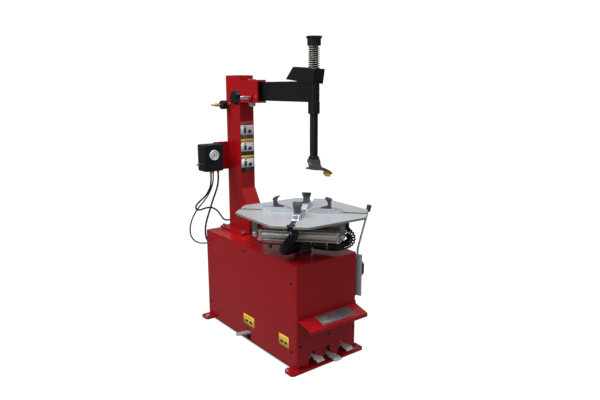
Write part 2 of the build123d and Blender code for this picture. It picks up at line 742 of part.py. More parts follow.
with BuildPart() as gauge_box:
    with BuildSketch(Plane.XZ.offset(-box_y0)):
        with Locations(((box_x0 + box_x1) / 2, (box_z0 + box_z1) / 2)):
            RectangleRounded(box_x1 - box_x0, box_z1 - box_z0, 10)
    extrude(amount=box_y0 - box_y1)
    chamfer(gauge_box.faces().sort_by(Axis.Y)[0].edges(), length=3)
    with BuildSketch(Plane.XZ.offset(-box_y0 - 4)):
        with Locations(((box_x0 + box_x1) / 2, (box_z0 + box_z1) / 2)):
            RectangleRounded(box_x1 - box_x0 - 8, box_z1 - box_z0 - 8, 6)
    extrude(amount=box_y0 + 4 - box_y1, mode=Mode.SUBTRACT)
    with BuildSketch(Plane.XZ.offset(-box_y0 + 1)):
        with Locations((gauge_x, gauge_z)):
            Circle(28)
    extrude(amount=-6, mode=Mode.SUBTRACT)
    # screws in two corners of the front
    with BuildSketch(Plane.XZ.offset(-box_y0)):
        with Locations((-278, 1046), (-168, 1060)):
            Circle(4.5)
    extrude(amount=2.5)
gauge_box.part.label = "gauge_box"
export_step(gauge_box.part, "parts/gauge_box.step")

# gauge body with its bezel, a recess and the dial at the bottom of the recess
gauge_plane = Plane(origin=(gauge_x, 0, gauge_z), x_dir=(1, 0, 0), z_dir=(0, 0, 1))
gauge_axis = Axis((gauge_x, 0, gauge_z), (0, 1, 0))
dial_y = 352.0
with BuildPart() as gauge_dial:
    with BuildSketch(gauge_plane):
        with BuildLine():
            Polyline((0, dial_y), (27, dial_y), (27, 344.5), (29, 343), (31.5, 345), (31.5, 352),
                     (27.9, 352), (27.9, 384), (0, 384), (0, dial_y))
        make_face()
    revolve(axis=gauge_axis)
gauge_dial.part.label = "gauge_dial"
export_step(gauge_dial.part, "parts/gauge_dial.step")

with BuildPart() as gauge_needle:
    with BuildSketch(Plane.XZ.offset(-350.5)):
        with Locations((gauge_x, gauge_z)):
            Circle(4)
    extrude(amount=2.5)
    with BuildSketch(Plane.XZ.offset(-350)):
        with Locations(Location((gauge_x, gauge_z, 0), (0, 0, 225))):
            Polygon((-8, -1.8), (21, -0.6), (21, 0.6), (-8, 1.8), align=None)
    extrude(amount=1.2)
gauge_needle.part.label = "gauge_needle"
export_step(gauge_needle.part, "parts/gauge_needle.step")

# hose ends under the gauge box: x, y and hose radius
hose_ends = [(-225, 395, 5.5), (-174, 392, 6.0), (-196, 418, 4.5)]
valve_y, valve_z = 430.0, 1441.0
with BuildPart() as brass_fittings:
    for x, y, r in hose_ends:
        with BuildSketch(Plane.XY.offset(1012)):
            with Locations((x, y)):
                RegularPolygon(radius=9, side_count=6, major_radius=False)
        extrude(amount=box_z0 - 1012)
        with BuildSketch(Plane.XY.offset(1000)):
            with Locations((x, y)):
                Circle(r + 1)
        extrude(amount=12)
    # side port of the gauge box
    with BuildSketch(Plane.YZ.offset(box_x0)):
        with Locations((410, 1072)):
            Circle(7)
    extrude(amount=-13)
    # end of the front hose on the back of the column
    with BuildSketch(Plane.XZ.offset(-column_y1)):
        with Locations((-10, 660)):
            Rectangle(20, 22)
    extrude(amount=-30)
    with BuildSketch(Plane.YZ.offset(-20)):
        with Locations((482, 660)):
            Circle(7)
    extrude(amount=-10)
    # ports in the rear wall of the cabinet
    for (x, z), r in zip(rear_ports, (6.0, 4.5)):
        with BuildSketch(Plane.XZ.offset(-cab_rear)):
            with Locations((x, z)):
                RegularPolygon(radius=11, side_count=6, major_radius=False)
        extrude(amount=-5)
        with BuildSketch(Plane.XZ.offset(-cab_rear - 5)):
            with Locations((x, z)):
                Circle(r + 1)
        extrude(amount=-5)
    # valve stem on the column with a hexagon and a hose nipple
    with BuildSketch(Plane.YZ.offset(column_left)):
        with Locations((valve_y, valve_z)):
            Circle(15)
    extrude(amount=-8)
    with BuildSketch(Plane.YZ.offset(column_left)):
        with Locations((valve_y, valve_z)):
            Circle(7)
    extrude(amount=-90)
    with BuildSketch(Plane.YZ.offset(-138)):
        with Locations((valve_y, valve_z)):
            RegularPolygon(radius=10, side_count=6, major_radius=False)
    extrude(amount=-16)
    with BuildSketch(Plane.YZ.offset(-154)):
        with Locations((valve_y, valve_z)):
            Circle(6)
    extrude(amount=-28)
brass_fittings.part.label = "brass_fittings"
export_step(brass_fittings.part, "parts/brass_fittings.step")

with BuildPart() as valve_knob:
    with BuildSketch(Plane.YZ.offset(-80)):
        with Locations((valve_y, valve_z)):
            Circle(28)
            with PolarLocations(29, 6):
                Circle(6, mode=Mode.SUBTRACT)
    extrude(amount=-36)
    fillet(valve_knob.edges().filter_by(GeomType.CIRCLE).group_by(Axis.X)[0], radius=1.5)
    with BuildSketch(Plane.YZ.offset(-79)):
        with Locations((valve_y, valve_z)):
            Circle(7 + running)
    extrude(amount=-38, mode=Mode.SUBTRACT)
valve_knob.part.label = "valve_knob"
export_step(valve_knob.part, "parts/valve_knob.step")

# ---------------------------------------------------------------- hoses
# routes of the three hoses below the gauge box, then of the two coiled hoses
hose_front = [(-225, 395, 1000), (-225, 395, 955), (-235, 400, 908), (-262, 409, 864),
              (-297, 419, 835), (-325, 429, 806), (-316, 440, 775), (-280, 452, 767),
              (-236, 462, 774), (-190, 468, 771), (-148, 474, 747), (-116, 480, 706),
              (-92, 482, 668), (-56, 482, 660), (-30, 482, 660)]
hose_middle = [(-174, 392, 1000), (-174, 392, 948), (-190, 398, 892), (-211, 406, 834),
               (-224, 420, 778), (-229, 446, 724), (-227, 478, 676), (-219, 508, 632),
               (-207, 536, 592), (-192, 562, 556), (-176, 580, 526), (-160, 586, 500),
               (-145, 575, 480), (-134, 554, 471), (-133, 531, 471), (-133, 509, 471)]
hose_rear = [(-196, 418, 1000), (-196, 418, 955), (-213, 420, 906), (-238, 427, 858),
             (-268, 440, 816), (-299, 458, 775), (-326, 469, 728), (-342, 480, 676),
             (-343, 490, 628), (-330, 502, 585), (-303, 516, 551), (-270, 534, 528),
             (-237, 555, 512), (-206, 570, 502), (-178, 573, 499), (-156, 556, 499),
             (-150, 532, 499), (-150, 509, 499)]
hoses = {"air_hose_front": (hose_front, 5.5), "air_hose_middle": (hose_middle, 6.0),
         "air_hose_rear": (hose_rear, 4.5)}


def table_point(outward_by, across, height):
    """A point given along and to the left of the right-hand slot."""
    spot = Vector(table_x, table_y, 0) + outward(slot_angle) * outward_by
    spot = spot + outward(slot_angle + 90) * across
    return (spot.X, spot.Y, height)


coil_right = [table_point(*p) for p in [(57, -12, 658), (114, -30, 656), (174, -46, 656),
                                        (234, -56, 664), (290, -60, 692), (292, -62, 734),
                                        (249, -62, 766), (249, -62, 805)]]
coil_front = [table_point(*p) for p in [(-12, -57, 658), (-38, -114, 656), (-64, -170, 656),
                                        (-68, -222, 680), (-38, -252, 718), (0, -249, 766),
                                        (0, -249, 805)]]
coils = {"air_coil_right": (coil_right, 27.0), "air_coil_front": (coil_front, 27.0)}
for name, (route, r) in {**hoses, **coils}.items():
    radii = bend_radii(route)
    print(name, "diameter", 2 * r, "bend radii", [round(v, 1) for v in radii])
    with BuildPart() as hose:
        with BuildLine():
            path = FilletPolyline(*route, radius=radii)
        with BuildSketch(Plane(origin=path @ 0, z_dir=path % 0)):
            Circle(r)
        sweep(path=path)
    length = path.length
    print(name, "length", round(length, 1), "volume ratio",
          round(hose.part.volume / (pi * r * r * length), 5))
    hose.part.label = name
    export_step(hose.part, f"parts/{name}.step")

# ---------------------------------------------------------------- pedals
with BuildPart() as pedal_axle:
    with BuildSketch(Plane.YZ.offset(cab_left + wall)):
        with Locations((pedal_axle_y, pedal_axle_z)):
            Circle(8)
    extrude(amount=cab_width - 2 * wall)
    # axle and brackets of the side pedal
    with BuildSketch(Plane.XZ.offset(36)):
        with Locations((-120, 60)):
            Circle(6)
    extrude(amount=-62)
    for y in (-36, 22):
        with BuildSketch(Plane.XZ.offset(-y)):
            with Locations((-160, 92)):
                Rectangle(108, 84)
        extrude(amount=-4)
    # return springs beside the front pedals
    for x in pedal_x.values():
        with BuildLine() as turns:
            Helix(4.4, 22, 9.4, center=(x + 18, pedal_axle_y, pedal_axle_z), direction=(1, 0, 0))
        with BuildSketch(Plane(origin=turns.line @ 0, z_dir=turns.line % 0)):
            Circle(1.5)
        sweep(path=turns.line, is_frenet=True)
pedal_axle.part.label = "pedal_axle"
export_step(pedal_axle.part, "parts/pedal_axle.step")

# the three pedals: a lever through the cover's slot, widening to a pad that bends down
for name, x in pedal_x.items():
    reach, drop = (22, 20) if name == "pedal_breaker" else (0, 0)
    with BuildPart() as pedal:
        with BuildSketch(Plane.YZ.offset(x - 13)):
            with BuildLine():
                Polyline((pedal_axle_y, pedal_axle_z + 8), (-480, 78 - drop), (-522, 78 - drop),
                         (-556 - reach, 75 - drop), (-572 - reach, 66 - drop),
                         (-569 - reach, 62 - drop), (-553 - reach, 69 - drop),
                         (-522, 71 - drop), (-480, 68 - drop), (pedal_axle_y, pedal_axle_z - 8),
                         (pedal_axle_y, pedal_axle_z + 8))
            make_face()
        extrude(amount=26)
        with BuildSketch(Plane.YZ.offset(x - 24)):
            with BuildLine():
                Polyline((-528, 77.5 - drop), (-556 - reach, 75 - drop), (-572 - reach, 66 - drop),
                         (-569 - reach, 62 - drop), (-553 - reach, 69 - drop),
                         (-528, 70.7 - drop), (-528, 77.5 - drop))
            make_face()
        extrude(amount=48)
        with BuildSketch(Plane.YZ.offset(x - 15)):
            with Locations((pedal_axle_y, pedal_axle_z)):
                Circle(16)
        extrude(amount=30)
        with BuildSketch(Plane.YZ.offset(x - 16)):
            with Locations((pedal_axle_y, pedal_axle_z)):
                Circle(8 + running)
        extrude(amount=32, mode=Mode.SUBTRACT)
    pedal.part.label = name
    export_step(pedal.part, f"parts/{name}.step")

with BuildPart() as pedal_inflate:
    with BuildSketch(Plane.XZ.offset(25)):
        with BuildLine():
            Polyline((-120, 65), (-215, 66), (-290, 74), (-308, 71), (-307, 66), (-289, 68),
                     (-215, 57), (-120, 55), (-120, 65))
        make_face()
    extrude(amount=-40)
    # the tongue's end is rounded
    with BuildSketch(Plane.XY.offset(40)):
        with Locations((-265, -5)):
            Rectangle(90, 60)
        with Locations((-254, -5)):
            SlotOverall(108, 40, mode=Mode.SUBTRACT)
    extrude(amount=50, mode=Mode.SUBTRACT)
    with BuildSketch(Plane.XZ.offset(30)):
        with Locations((-120, 60)):
            Circle(12)
    extrude(amount=-50)
    with BuildSketch(Plane.XZ.offset(31)):
        with Locations((-120, 60)):
            Circle(6 + running)
    extrude(amount=-52, mode=Mode.SUBTRACT)
pedal_inflate.part.label = "pedal_inflate"
export_step(pedal_inflate.part, "parts/pedal_inflate.step")

# ---------------------------------------------------------------- drive under the table
worm_r = 18.0
worm_y = table_y + 92 + worm_r + running
worm_z = 469.0
motor_z = 205.0
belt_x = 118.0
with BuildPart() as gearbox:
    with BuildSketch(Plane.XY.offset(440)):
        with Locations((table_x, table_y)):
            Circle(106)
    extrude(amount=58)
    with BuildSketch(Plane.YZ.offset(-72)):
        with Locations((worm_y, worm_z)):
            Circle(29)
    extrude(amount=144)
    with BuildSketch(Plane.XY.offset(498)):
        with Locations((table_x, table_y)):
            Circle(62)
    extrude(amount=cab_top - top_sheet - 498)
    with BuildSketch(Plane.XY.offset(cab_top - top_sheet - 10)):
        with Locations((table_x, table_y)):
            Circle(96)
    extrude(amount=10)
    # room for the worm wheel and the worm, and the two bores of the shaft
    with BuildSketch(Plane.XY.offset(448)):
        with Locations((table_x, table_y)):
            Circle(95)
    extrude(amount=42, mode=Mode.SUBTRACT)
    with BuildSketch(Plane.YZ.offset(-60)):
        with Locations((worm_y, worm_z)):
            Circle(21)
    extrude(amount=120, mode=Mode.SUBTRACT)
    with BuildSketch(Plane.YZ.offset(-73)):
        with Locations((worm_y, worm_z)):
            Circle(12 + running)
    extrude(amount=146, mode=Mode.SUBTRACT)
    with BuildSketch(Plane.XY.offset(439)):
        with Locations((table_x, table_y)):
            Circle(shaft_r + running)
    extrude(amount=60, mode=Mode.SUBTRACT)
    with BuildSketch(Plane.XY.offset(498)):
        with Locations((table_x, table_y)):
            Circle(46)
    extrude(amount=cab_top - top_sheet - 498, mode=Mode.SUBTRACT)
gearbox.part.label = "gearbox"
export_step(gearbox.part, "parts/gearbox.step")

# worm shaft with its pulley, the teeth of the worm drawn as their pitch cylinder
with BuildPart() as gearbox_pulley:
    for start, length, r in ((-68, 177, 12), (-48, 96, worm_r), (109, 18, 52), (107, 2, 60),
                             (127, 2, 60)):
        with BuildSketch(Plane.YZ.offset(start)):
            with Locations((worm_y, worm_z)):
                Circle(r)
        extrude(amount=length)
gearbox_pulley.part.label = "gearbox_pulley"
export_step(gearbox_pulley.part, "parts/gearbox_pulley.step")

with BuildPart() as motor:
    with BuildSketch(Plane.YZ.offset(-125)):
        with Locations((worm_y, motor_z)):
            Circle(70)
            with PolarLocations(70, 24):
                Rectangle(12, 4)
    extrude(amount=200)
    with BuildSketch(Plane.YZ.offset(75)):
        with Locations((worm_y, motor_z)):
            Circle(60)
    extrude(amount=12)
    with BuildSketch(Plane.YZ.offset(60)):
        with Locations((worm_y, motor_z)):
            Circle(10 + running)
    extrude(amount=28, mode=Mode.SUBTRACT)
    # foot and the shelf that it stands on, against the left wall
    with BuildSketch(Plane.XY.offset(118)):
        with Locations((-25, worm_y)):
            Rectangle(150, 130)
    extrude(amount=40)
    with BuildSketch(Plane.XY.offset(110)):
        with Locations(((cab_left + wall + 90) / 2, worm_y)):
            Rectangle(90 - cab_left - wall, 170)
    extrude(amount=8)
    with BuildSketch(Plane.YZ.offset(cab_left + wall)):
        with Locations((worm_y, 150)):
            Rectangle(170, 80)
    extrude(amount=6)
motor.part.label = "motor"
export_step(motor.part, "parts/motor.step")

with BuildPart() as motor_pulley:
    for start, length, r in ((62, 47, 10), (109, 18, 24), (107, 2, 32), (127, 2, 32)):
        with BuildSketch(Plane.YZ.offset(start)):
            with Locations((worm_y, motor_z)):
                Circle(r)
        extrude(amount=length)
motor_pulley.part.label = "motor_pulley"
export_step(motor_pulley.part, "parts/motor_pulley.step")

with BuildPart() as drive_belt:
    with BuildSketch(Plane.YZ.offset(110)):
        with Locations((worm_y, worm_z)):
            Circle(52 + running + 5)
        with Locations((worm_y, motor_z)):
            Circle(24 + running + 5)
        make_hull()
        with BuildSketch(mode=Mode.SUBTRACT):
            with Locations((worm_y, worm_z)):
                Circle(52 + running)
            with Locations((worm_y, motor_z)):
                Circle(24 + running)
            make_hull()
    extrude(amount=16)
drive_belt.part.label = "drive_belt"
export_step(drive_belt.part, "parts/drive_belt.step")

# ---------------------------------------------------------------- bead breaker
hinge_x, hinge_y = breaker_hinge
pin_x = 286.0
blade_x = 274.0
with BuildPart() as bead_pads:
    with BuildSketch(Plane.YZ.offset(cab_right)):
        with Locations((blade_y, 460)):
            RectangleRounded(96, 250, 6)
    extrude(amount=5)
    with BuildSketch(Plane.YZ.offset(cab_right + 5)):
        with Locations(*[(blade_y + step, 460) for step in (-32, 0, 32)]):
            RectangleRounded(24, 240, 5)
    extrude(amount=10)
bead_pads.part.label = "bead_pads"
export_step(bead_pads.part, "parts/bead_pads.step")

with BuildPart() as bead_hinge:
    with BuildSketch(Plane.YZ.offset(cab_right)):
        with Locations((hinge_y, breaker_z)):
            Rectangle(90, 130)
    extrude(amount=8)
    for z in (breaker_z - 32, breaker_z + 20):
        with BuildSketch(Plane.XY.offset(z)):
            with Locations(((cab_right + hinge_x) / 2, hinge_y)):
                Rectangle(hinge_x - cab_right, 44)
            with Locations((hinge_x, hinge_y)):
                Circle(22)
        extrude(amount=12)
    with BuildSketch(Plane.XY.offset(breaker_z - 42)):
        with Locations((hinge_x, hinge_y)):
            Circle(10)
    extrude(amount=84)
    with BuildSketch(Plane.XY.offset(breaker_z + 32)):
        with Locations((hinge_x, hinge_y)):
            RegularPolygon(radius=16, side_count=6, major_radius=False)
    extrude(amount=10)
bead_hinge.part.label = "bead_hinge"
export_step(bead_hinge.part, "parts/bead_hinge.step")

with BuildPart() as bead_arm:
    with BuildSketch(Plane.XY.offset(breaker_z - 15)):
        with BuildLine():
            Polyline((hinge_x - 12, hinge_y), (pin_x - 12, rod_y), (blade_x - 6, -425),
                     (blade_x + 24, -425), (pin_x + 12, rod_y), (hinge_x + 12, hinge_y),
                     (hinge_x - 12, hinge_y))
        make_face()
        with Locations((hinge_x, hinge_y)):
            Circle(20)
    extrude(amount=30)
    # end block with the pin of the blade, and the pin of the rod
    with BuildSketch(Plane.XY.offset(461)):
        with Locations((blade_x + 12, -450)):
            Rectangle(36, 52)
    extrude(amount=63)
    with BuildSketch(Plane.XY.offset(440)):
        with Locations((blade_x + 2, -450)):
            Circle(8)
    extrude(amount=105)
    with BuildSketch(Plane.XY.offset(breaker_z - 28)):
        with Locations((pin_x, rod_y)):
            Circle(8)
    extrude(amount=56)
    with BuildSketch(Plane.XY.offset(breaker_z - 16)):
        with Locations((hinge_x, hinge_y)):
            Circle(10 + running)
    extrude(amount=32, mode=Mode.SUBTRACT)
bead_arm.part.label = "bead_arm"
export_step(bead_arm.part, "parts/bead_arm.step")

# curved blade with two lugs over and under the end block
with BuildPart() as bead_blade:
    with BuildSketch(Plane.XY.offset(335)):
        with BuildLine():
            ThreePointArc((262, -498), (247, -450), (241, -372))
            Line((241, -372), (247, -372))
            ThreePointArc((247, -372), (253, -450), (267, -495))
            Line((267, -495), (262, -498))
        make_face()
    extrude(amount=255)
    for z in (449, 526):
        with BuildSketch(Plane.XY.offset(z)):
            with Locations((blade_x + 2, -450)):
                Circle(18)
            with Locations((276, -444)):
                Rectangle(52, 52)
        extrude(amount=10)
        with BuildSketch(Plane.XY.offset(z - 1)):
            with Locations((blade_x + 2, -450)):
                Circle(8 + running)
        extrude(amount=12, mode=Mode.SUBTRACT)
bead_blade.part.label = "bead_blade"
export_step(bead_blade.part, "parts/bead_blade.step")

with BuildPart() as bead_handle:
    with BuildLine():
        bent = FilletPolyline((291, -431, 536), (291, -431, 604), (376, -424, 822), radius=60)
    with BuildSketch(Plane.XY.offset(536)):
        with Locations((291, -431)):
            Circle(6)
    sweep(path=bent)
    with BuildSketch(Plane(origin=bent @ 1, z_dir=bent % 1)):
        Circle(14)
    extrude(amount=40)
bead_handle.part.label = "bead_handle"
export_step(bead_handle.part, "parts/bead_handle.step")

# piston rod, its fork and the slotted plates that take the arm's pin
with BuildPart() as bead_rod:
    with BuildSketch(Plane.YZ.offset(-190)):
        with Locations((rod_y, breaker_z)):
            Circle(82)
    extrude(amount=24)
    with BuildSketch(Plane.YZ.offset(-166)):
        with Locations((rod_y, breaker_z)):
            Circle(12)
    extrude(amount=166 + 240)
    with BuildSketch(Plane.YZ.offset(236)):
        with Locations((84, breaker_z)):
            Rectangle(84, 52)
    extrude(amount=10)
    for z in (breaker_z - 26, breaker_z + 17):
        with BuildSketch(Plane.XY.offset(z)):
            with Locations((274, 84)):
                RectangleRounded(68, 84, 8)
            with Locations((pin_x + 1.5, 81)):
                Rectangle(20.4, 60, mode=Mode.SUBTRACT)
        extrude(amount=9)
bead_rod.part.label = "bead_rod"
export_step(bead_rod.part, "parts/bead_rod.step")

with BuildPart() as bead_cylinder:
    with BuildSketch(Plane.YZ.offset(-206)):
        with Locations((rod_y, breaker_z)):
            Circle(90)
    extrude(amount=316)
    with BuildSketch(Plane.YZ.offset(-198)):
        with Locations((rod_y, breaker_z)):
            Circle(82 + running)
    extrude(amount=298, mode=Mode.SUBTRACT)
    with BuildSketch(Plane.YZ.offset(99)):
        with Locations((rod_y, breaker_z)):
            Circle(12 + running)
    extrude(amount=12, mode=Mode.SUBTRACT)
    # bracket against the left wall
    with BuildSketch(Plane.YZ.offset(cab_left + wall)):
        with Locations((rod_y, breaker_z)):
            Rectangle(120, 120)
    extrude(amount=10)
bead_cylinder.part.label = "bead_cylinder"
export_step(bead_cylinder.part, "parts/bead_cylinder.step")
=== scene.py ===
"""Looks of the tire changer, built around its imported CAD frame. Metres, row frame."""
import json
import math

import bmesh
import bpy
from mathutils import Matrix, Vector

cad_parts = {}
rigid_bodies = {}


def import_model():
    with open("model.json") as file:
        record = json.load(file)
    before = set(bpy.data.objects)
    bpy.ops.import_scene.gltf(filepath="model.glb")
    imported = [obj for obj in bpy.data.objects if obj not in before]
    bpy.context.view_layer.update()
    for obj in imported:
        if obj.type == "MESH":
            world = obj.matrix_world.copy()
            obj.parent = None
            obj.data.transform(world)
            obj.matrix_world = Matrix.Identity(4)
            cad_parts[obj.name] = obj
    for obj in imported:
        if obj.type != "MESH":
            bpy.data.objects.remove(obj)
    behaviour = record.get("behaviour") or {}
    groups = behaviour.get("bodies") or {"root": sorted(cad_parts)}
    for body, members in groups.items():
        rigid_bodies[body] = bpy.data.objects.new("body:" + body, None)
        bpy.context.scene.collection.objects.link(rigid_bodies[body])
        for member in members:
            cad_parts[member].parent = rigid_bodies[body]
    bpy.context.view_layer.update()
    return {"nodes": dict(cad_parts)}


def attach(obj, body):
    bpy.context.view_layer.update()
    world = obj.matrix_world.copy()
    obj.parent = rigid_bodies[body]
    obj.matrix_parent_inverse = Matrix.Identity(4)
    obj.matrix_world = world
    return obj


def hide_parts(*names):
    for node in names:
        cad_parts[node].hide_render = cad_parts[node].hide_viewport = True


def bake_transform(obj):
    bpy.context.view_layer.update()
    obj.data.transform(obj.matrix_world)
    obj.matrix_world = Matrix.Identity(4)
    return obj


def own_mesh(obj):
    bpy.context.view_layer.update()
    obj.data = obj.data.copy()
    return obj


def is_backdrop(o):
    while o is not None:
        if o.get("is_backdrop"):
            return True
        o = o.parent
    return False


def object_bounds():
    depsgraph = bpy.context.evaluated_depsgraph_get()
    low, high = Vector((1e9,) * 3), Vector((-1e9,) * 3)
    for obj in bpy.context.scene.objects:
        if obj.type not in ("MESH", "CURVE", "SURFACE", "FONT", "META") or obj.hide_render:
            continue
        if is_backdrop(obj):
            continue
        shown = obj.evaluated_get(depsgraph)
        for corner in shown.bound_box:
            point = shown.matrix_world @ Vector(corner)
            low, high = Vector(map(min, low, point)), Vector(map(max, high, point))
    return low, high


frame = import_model()
nodes = frame["nodes"]


# ------------------------------------------------------------------ materials
def add(tree, kind, values=None, **props):
    """New shader node with input values and properties set."""
    node = tree.nodes.new(kind)
    for key, value in props.items():
        setattr(node, key, value)
    for key, value in (values or {}).items():
        node.inputs[key].default_value = value
    return node


def mix_colour(tree, factor, a, b):
    """Colour mix; each of factor, a and b is a socket or a value."""
    node = add(tree, "ShaderNodeMix", data_type="RGBA", blend_type="MIX")
    for socket, value in ((node.inputs[0], factor), (node.inputs[6], a), (node.inputs[7], b)):
        if isinstance(value, bpy.types.NodeSocket):
            tree.links.new(value, socket)
        elif isinstance(value, (int, float)):
            socket.default_value = value
        else:
            socket.default_value = (*value[:3], 1.0)
    return node.outputs[2]


def ramp(tree, value, low, high, out_low=0.0, out_high=1.0):
    """Value mapped from low..high to out_low..out_high, clamped."""
    node = add(tree, "ShaderNodeMapRange",
               {"From Min": low, "From Max": high, "To Min": out_low, "To Max": out_high})
    tree.links.new(value, node.inputs["Value"])
    return node.outputs["Result"]


def maths(tree, operation, a, b=None):
    """Math node on sockets or numbers."""
    node = add(tree, "ShaderNodeMath", operation=operation)
    for socket, value in zip(node.inputs, (a, b)):
        if isinstance(value, bpy.types.NodeSocket):
            tree.links.new(value, socket)
        elif value is not None:
            socket.default_value = value
    return node.outputs[0]


def scaled_place(tree, stretch):
    """Object coordinates multiplied by stretch, so a noise on them runs in streaks."""
    place = add(tree, "ShaderNodeTexCoord")
    node = add(tree, "ShaderNodeMapping", {"Scale": stretch})
    tree.links.new(place.outputs["Object"], node.inputs["Vector"])
    return node.outputs["Vector"]


def noise(tree, scale, detail=4.0, stretch=(1, 1, 1), rough=0.55):
    """Noise value on object coordinates."""
    node = add(tree, "ShaderNodeTexNoise", {"Scale": scale, "Detail": detail, "Roughness": rough})
    tree.links.new(scaled_place(tree, stretch), node.inputs["Vector"])
    return node.outputs["Fac"]


DUST = (0.35, 0.31, 0.27)
SOFT_SHINE = 0.22  # specular level of paint and plastic that mirror little of the room


def surface(name, colour, second, rough=0.4, metal=0.0, patch=6.0, mottle=0.5, grain=900.0,
            bump=0.02, streak=None, streak_scale=300.0, streak_bump=0.0, dust=0.0, coat=0.0,
            rough_swing=0.12, scratches=0.0, scratch_colour=(0.6, 0.6, 0.6), specular=0.5):
    """Layered material: two-tone patches, fine grain bump, streaks, scratches and dust."""
    material = bpy.data.materials.new(name)
    material.use_nodes = True
    tree = material.node_tree
    shader = tree.nodes["Principled BSDF"]
    patches = noise(tree, patch, 5.0)
    tint = mix_colour(tree, ramp(tree, patches, 0.35, 0.65, 0.0, mottle), colour, second)
    roughness = ramp(tree, noise(tree, patch * 5, 6.0), 0.3, 0.7,
                     max(rough - rough_swing, 0.02), min(rough + rough_swing, 1.0))
    height = noise(tree, grain, 3.0)
    if streak:
        lines = noise(tree, streak_scale, 4.0, streak)
        tint = mix_colour(tree, ramp(tree, lines, 0.4, 0.62, 0.0, 0.35), tint, second)
        roughness = maths(tree, "ADD", roughness, ramp(tree, lines, 0.35, 0.65, -0.06, 0.08))
        if streak_bump:
            height = maths(tree, "ADD", height, maths(tree, "MULTIPLY", lines, streak_bump))
    if scratches:
        marks = noise(tree, 70.0, 8.0, (1.0, 6.0, 1.0), 0.75)
        marks_b = noise(tree, 90.0, 8.0, (7.0, 1.0, 1.0), 0.75)
        both = maths(tree, "MAXIMUM", ramp(tree, marks, 0.67, 0.70),
                     ramp(tree, marks_b, 0.68, 0.71))
        tint = mix_colour(tree, maths(tree, "MULTIPLY", both, scratches), tint, scratch_colour)
    if dust:
        facing = add(tree, "ShaderNodeNewGeometry")
        split = add(tree, "ShaderNodeSeparateXYZ")
        tree.links.new(facing.outputs["Normal"], split.inputs[0])
        low_place = add(tree, "ShaderNodeSeparateXYZ")
        tree.links.new(scaled_place(tree, (1, 1, 1)), low_place.inputs[0])
        near_floor = ramp(tree, low_place.outputs["Z"], 0.0, 0.35, 1.0, 0.15)
        upward = ramp(tree, split.outputs["Z"], 0.2, 1.0, 0.25, 1.0)
        speckle = ramp(tree, noise(tree, 28.0, 8.0, rough=0.7), 0.45, 0.75)
        amount = maths(tree, "MULTIPLY", maths(tree, "MULTIPLY", near_floor, upward), speckle)
        tint = mix_colour(tree, maths(tree, "MULTIPLY", amount, dust), tint, DUST)
        roughness = maths(tree, "ADD", roughness, maths(tree, "MULTIPLY", amount, 0.3 * dust))
    relief = add(tree, "ShaderNodeBump", {"Strength": bump, "Distance": 0.001})
    tree.links.new(height, relief.inputs["Height"])
    tree.links.new(relief.outputs["Normal"], shader.inputs["Normal"])
    tree.links.new(tint, shader.inputs["Base Color"])
    tree.links.new(roughness, shader.inputs["Roughness"])
    shader.inputs["Metallic"].default_value = metal
    shader.inputs["Coat Weight"].default_value = coat
    shader.inputs["Coat Roughness"].default_value = 0.06
    shader.inputs["Specular IOR Level"].default_value = specular
    return material


def masked(name, first, second, test):
    """Material that shows second's shader where test(tree, x, y, z sockets) is 1, else first's."""
    material = first.copy()
    material.name = name
    tree = material.node_tree
    output = next(n for n in tree.nodes if n.type == "OUTPUT_MATERIAL")
    first_shader = tree.nodes["Principled BSDF"]
    copies = {}
    for node in second.node_tree.nodes:
        if node.type == "OUTPUT_MATERIAL":
            continue
        twin = tree.nodes.new(node.bl_idname)
        for prop in node.bl_rna.properties:
            if not prop.is_readonly and prop.identifier not in ("parent", "name", "select"):
                try:
                    setattr(twin, prop.identifier, getattr(node, prop.identifier))
                except (AttributeError, TypeError):
                    continue
        for here, there in zip(node.inputs, twin.inputs):
            if hasattr(here, "default_value") and not here.is_linked:
                there.default_value = here.default_value
        copies[node.name] = twin
    for link in second.node_tree.links:
        if link.to_node.type == "OUTPUT_MATERIAL":
            continue
        source = list(link.from_node.outputs).index(link.from_socket)
        target = list(link.to_node.inputs).index(link.to_socket)
        tree.links.new(copies[link.from_node.name].outputs[source],
                       copies[link.to_node.name].inputs[target])
    place = add(tree, "ShaderNodeSeparateXYZ")
    tree.links.new(scaled_place(tree, (1, 1, 1)), place.inputs[0])
    choice = add(tree, "ShaderNodeMixShader")
    tree.links.new(test(tree, *place.outputs), choice.inputs[0])
    tree.links.new(first_shader.outputs[0], choice.inputs[1])
    tree.links.new(copies["Principled BSDF"].outputs[0], choice.inputs[2])
    tree.links.new(choice.outputs[0], output.inputs["Surface"])
    return material


red = surface("red_enamel", (0.33, 0.004, 0.007), (0.28, 0.003, 0.006), rough=0.27, grain=260,
              bump=0.006, coat=0.12, rough_swing=0.05, mottle=0.45, specular=SOFT_SHINE)
black = surface("black_powder", (0.005, 0.005, 0.006), (0.009, 0.009, 0.010), rough=0.42,
                grain=1400, bump=0.07, rough_swing=0.08, specular=SOFT_SHINE)
table_paint = surface("grey_enamel", (0.34, 0.355, 0.365), (0.31, 0.325, 0.335), rough=0.34,
                      grain=300, bump=0.04, coat=0.25, scratches=0.08, rough_swing=0.06)
blade_paint = surface("blade_enamel", (0.52, 0.54, 0.56), (0.44, 0.46, 0.49), rough=0.34,
                      grain=420, bump=0.05, coat=0.25, scratches=0.3)
zinc = surface("galvanised", (0.56, 0.61, 0.65), (0.50, 0.55, 0.59), rough=0.30, metal=0.75,
               grain=600, bump=0.01, mottle=0.3, rough_swing=0.04)
bolt_zinc = surface("bolt_zinc", (0.66, 0.67, 0.68), (0.42, 0.42, 0.42), rough=0.3, metal=1.0,
                    grain=1500, bump=0.06, patch=60)
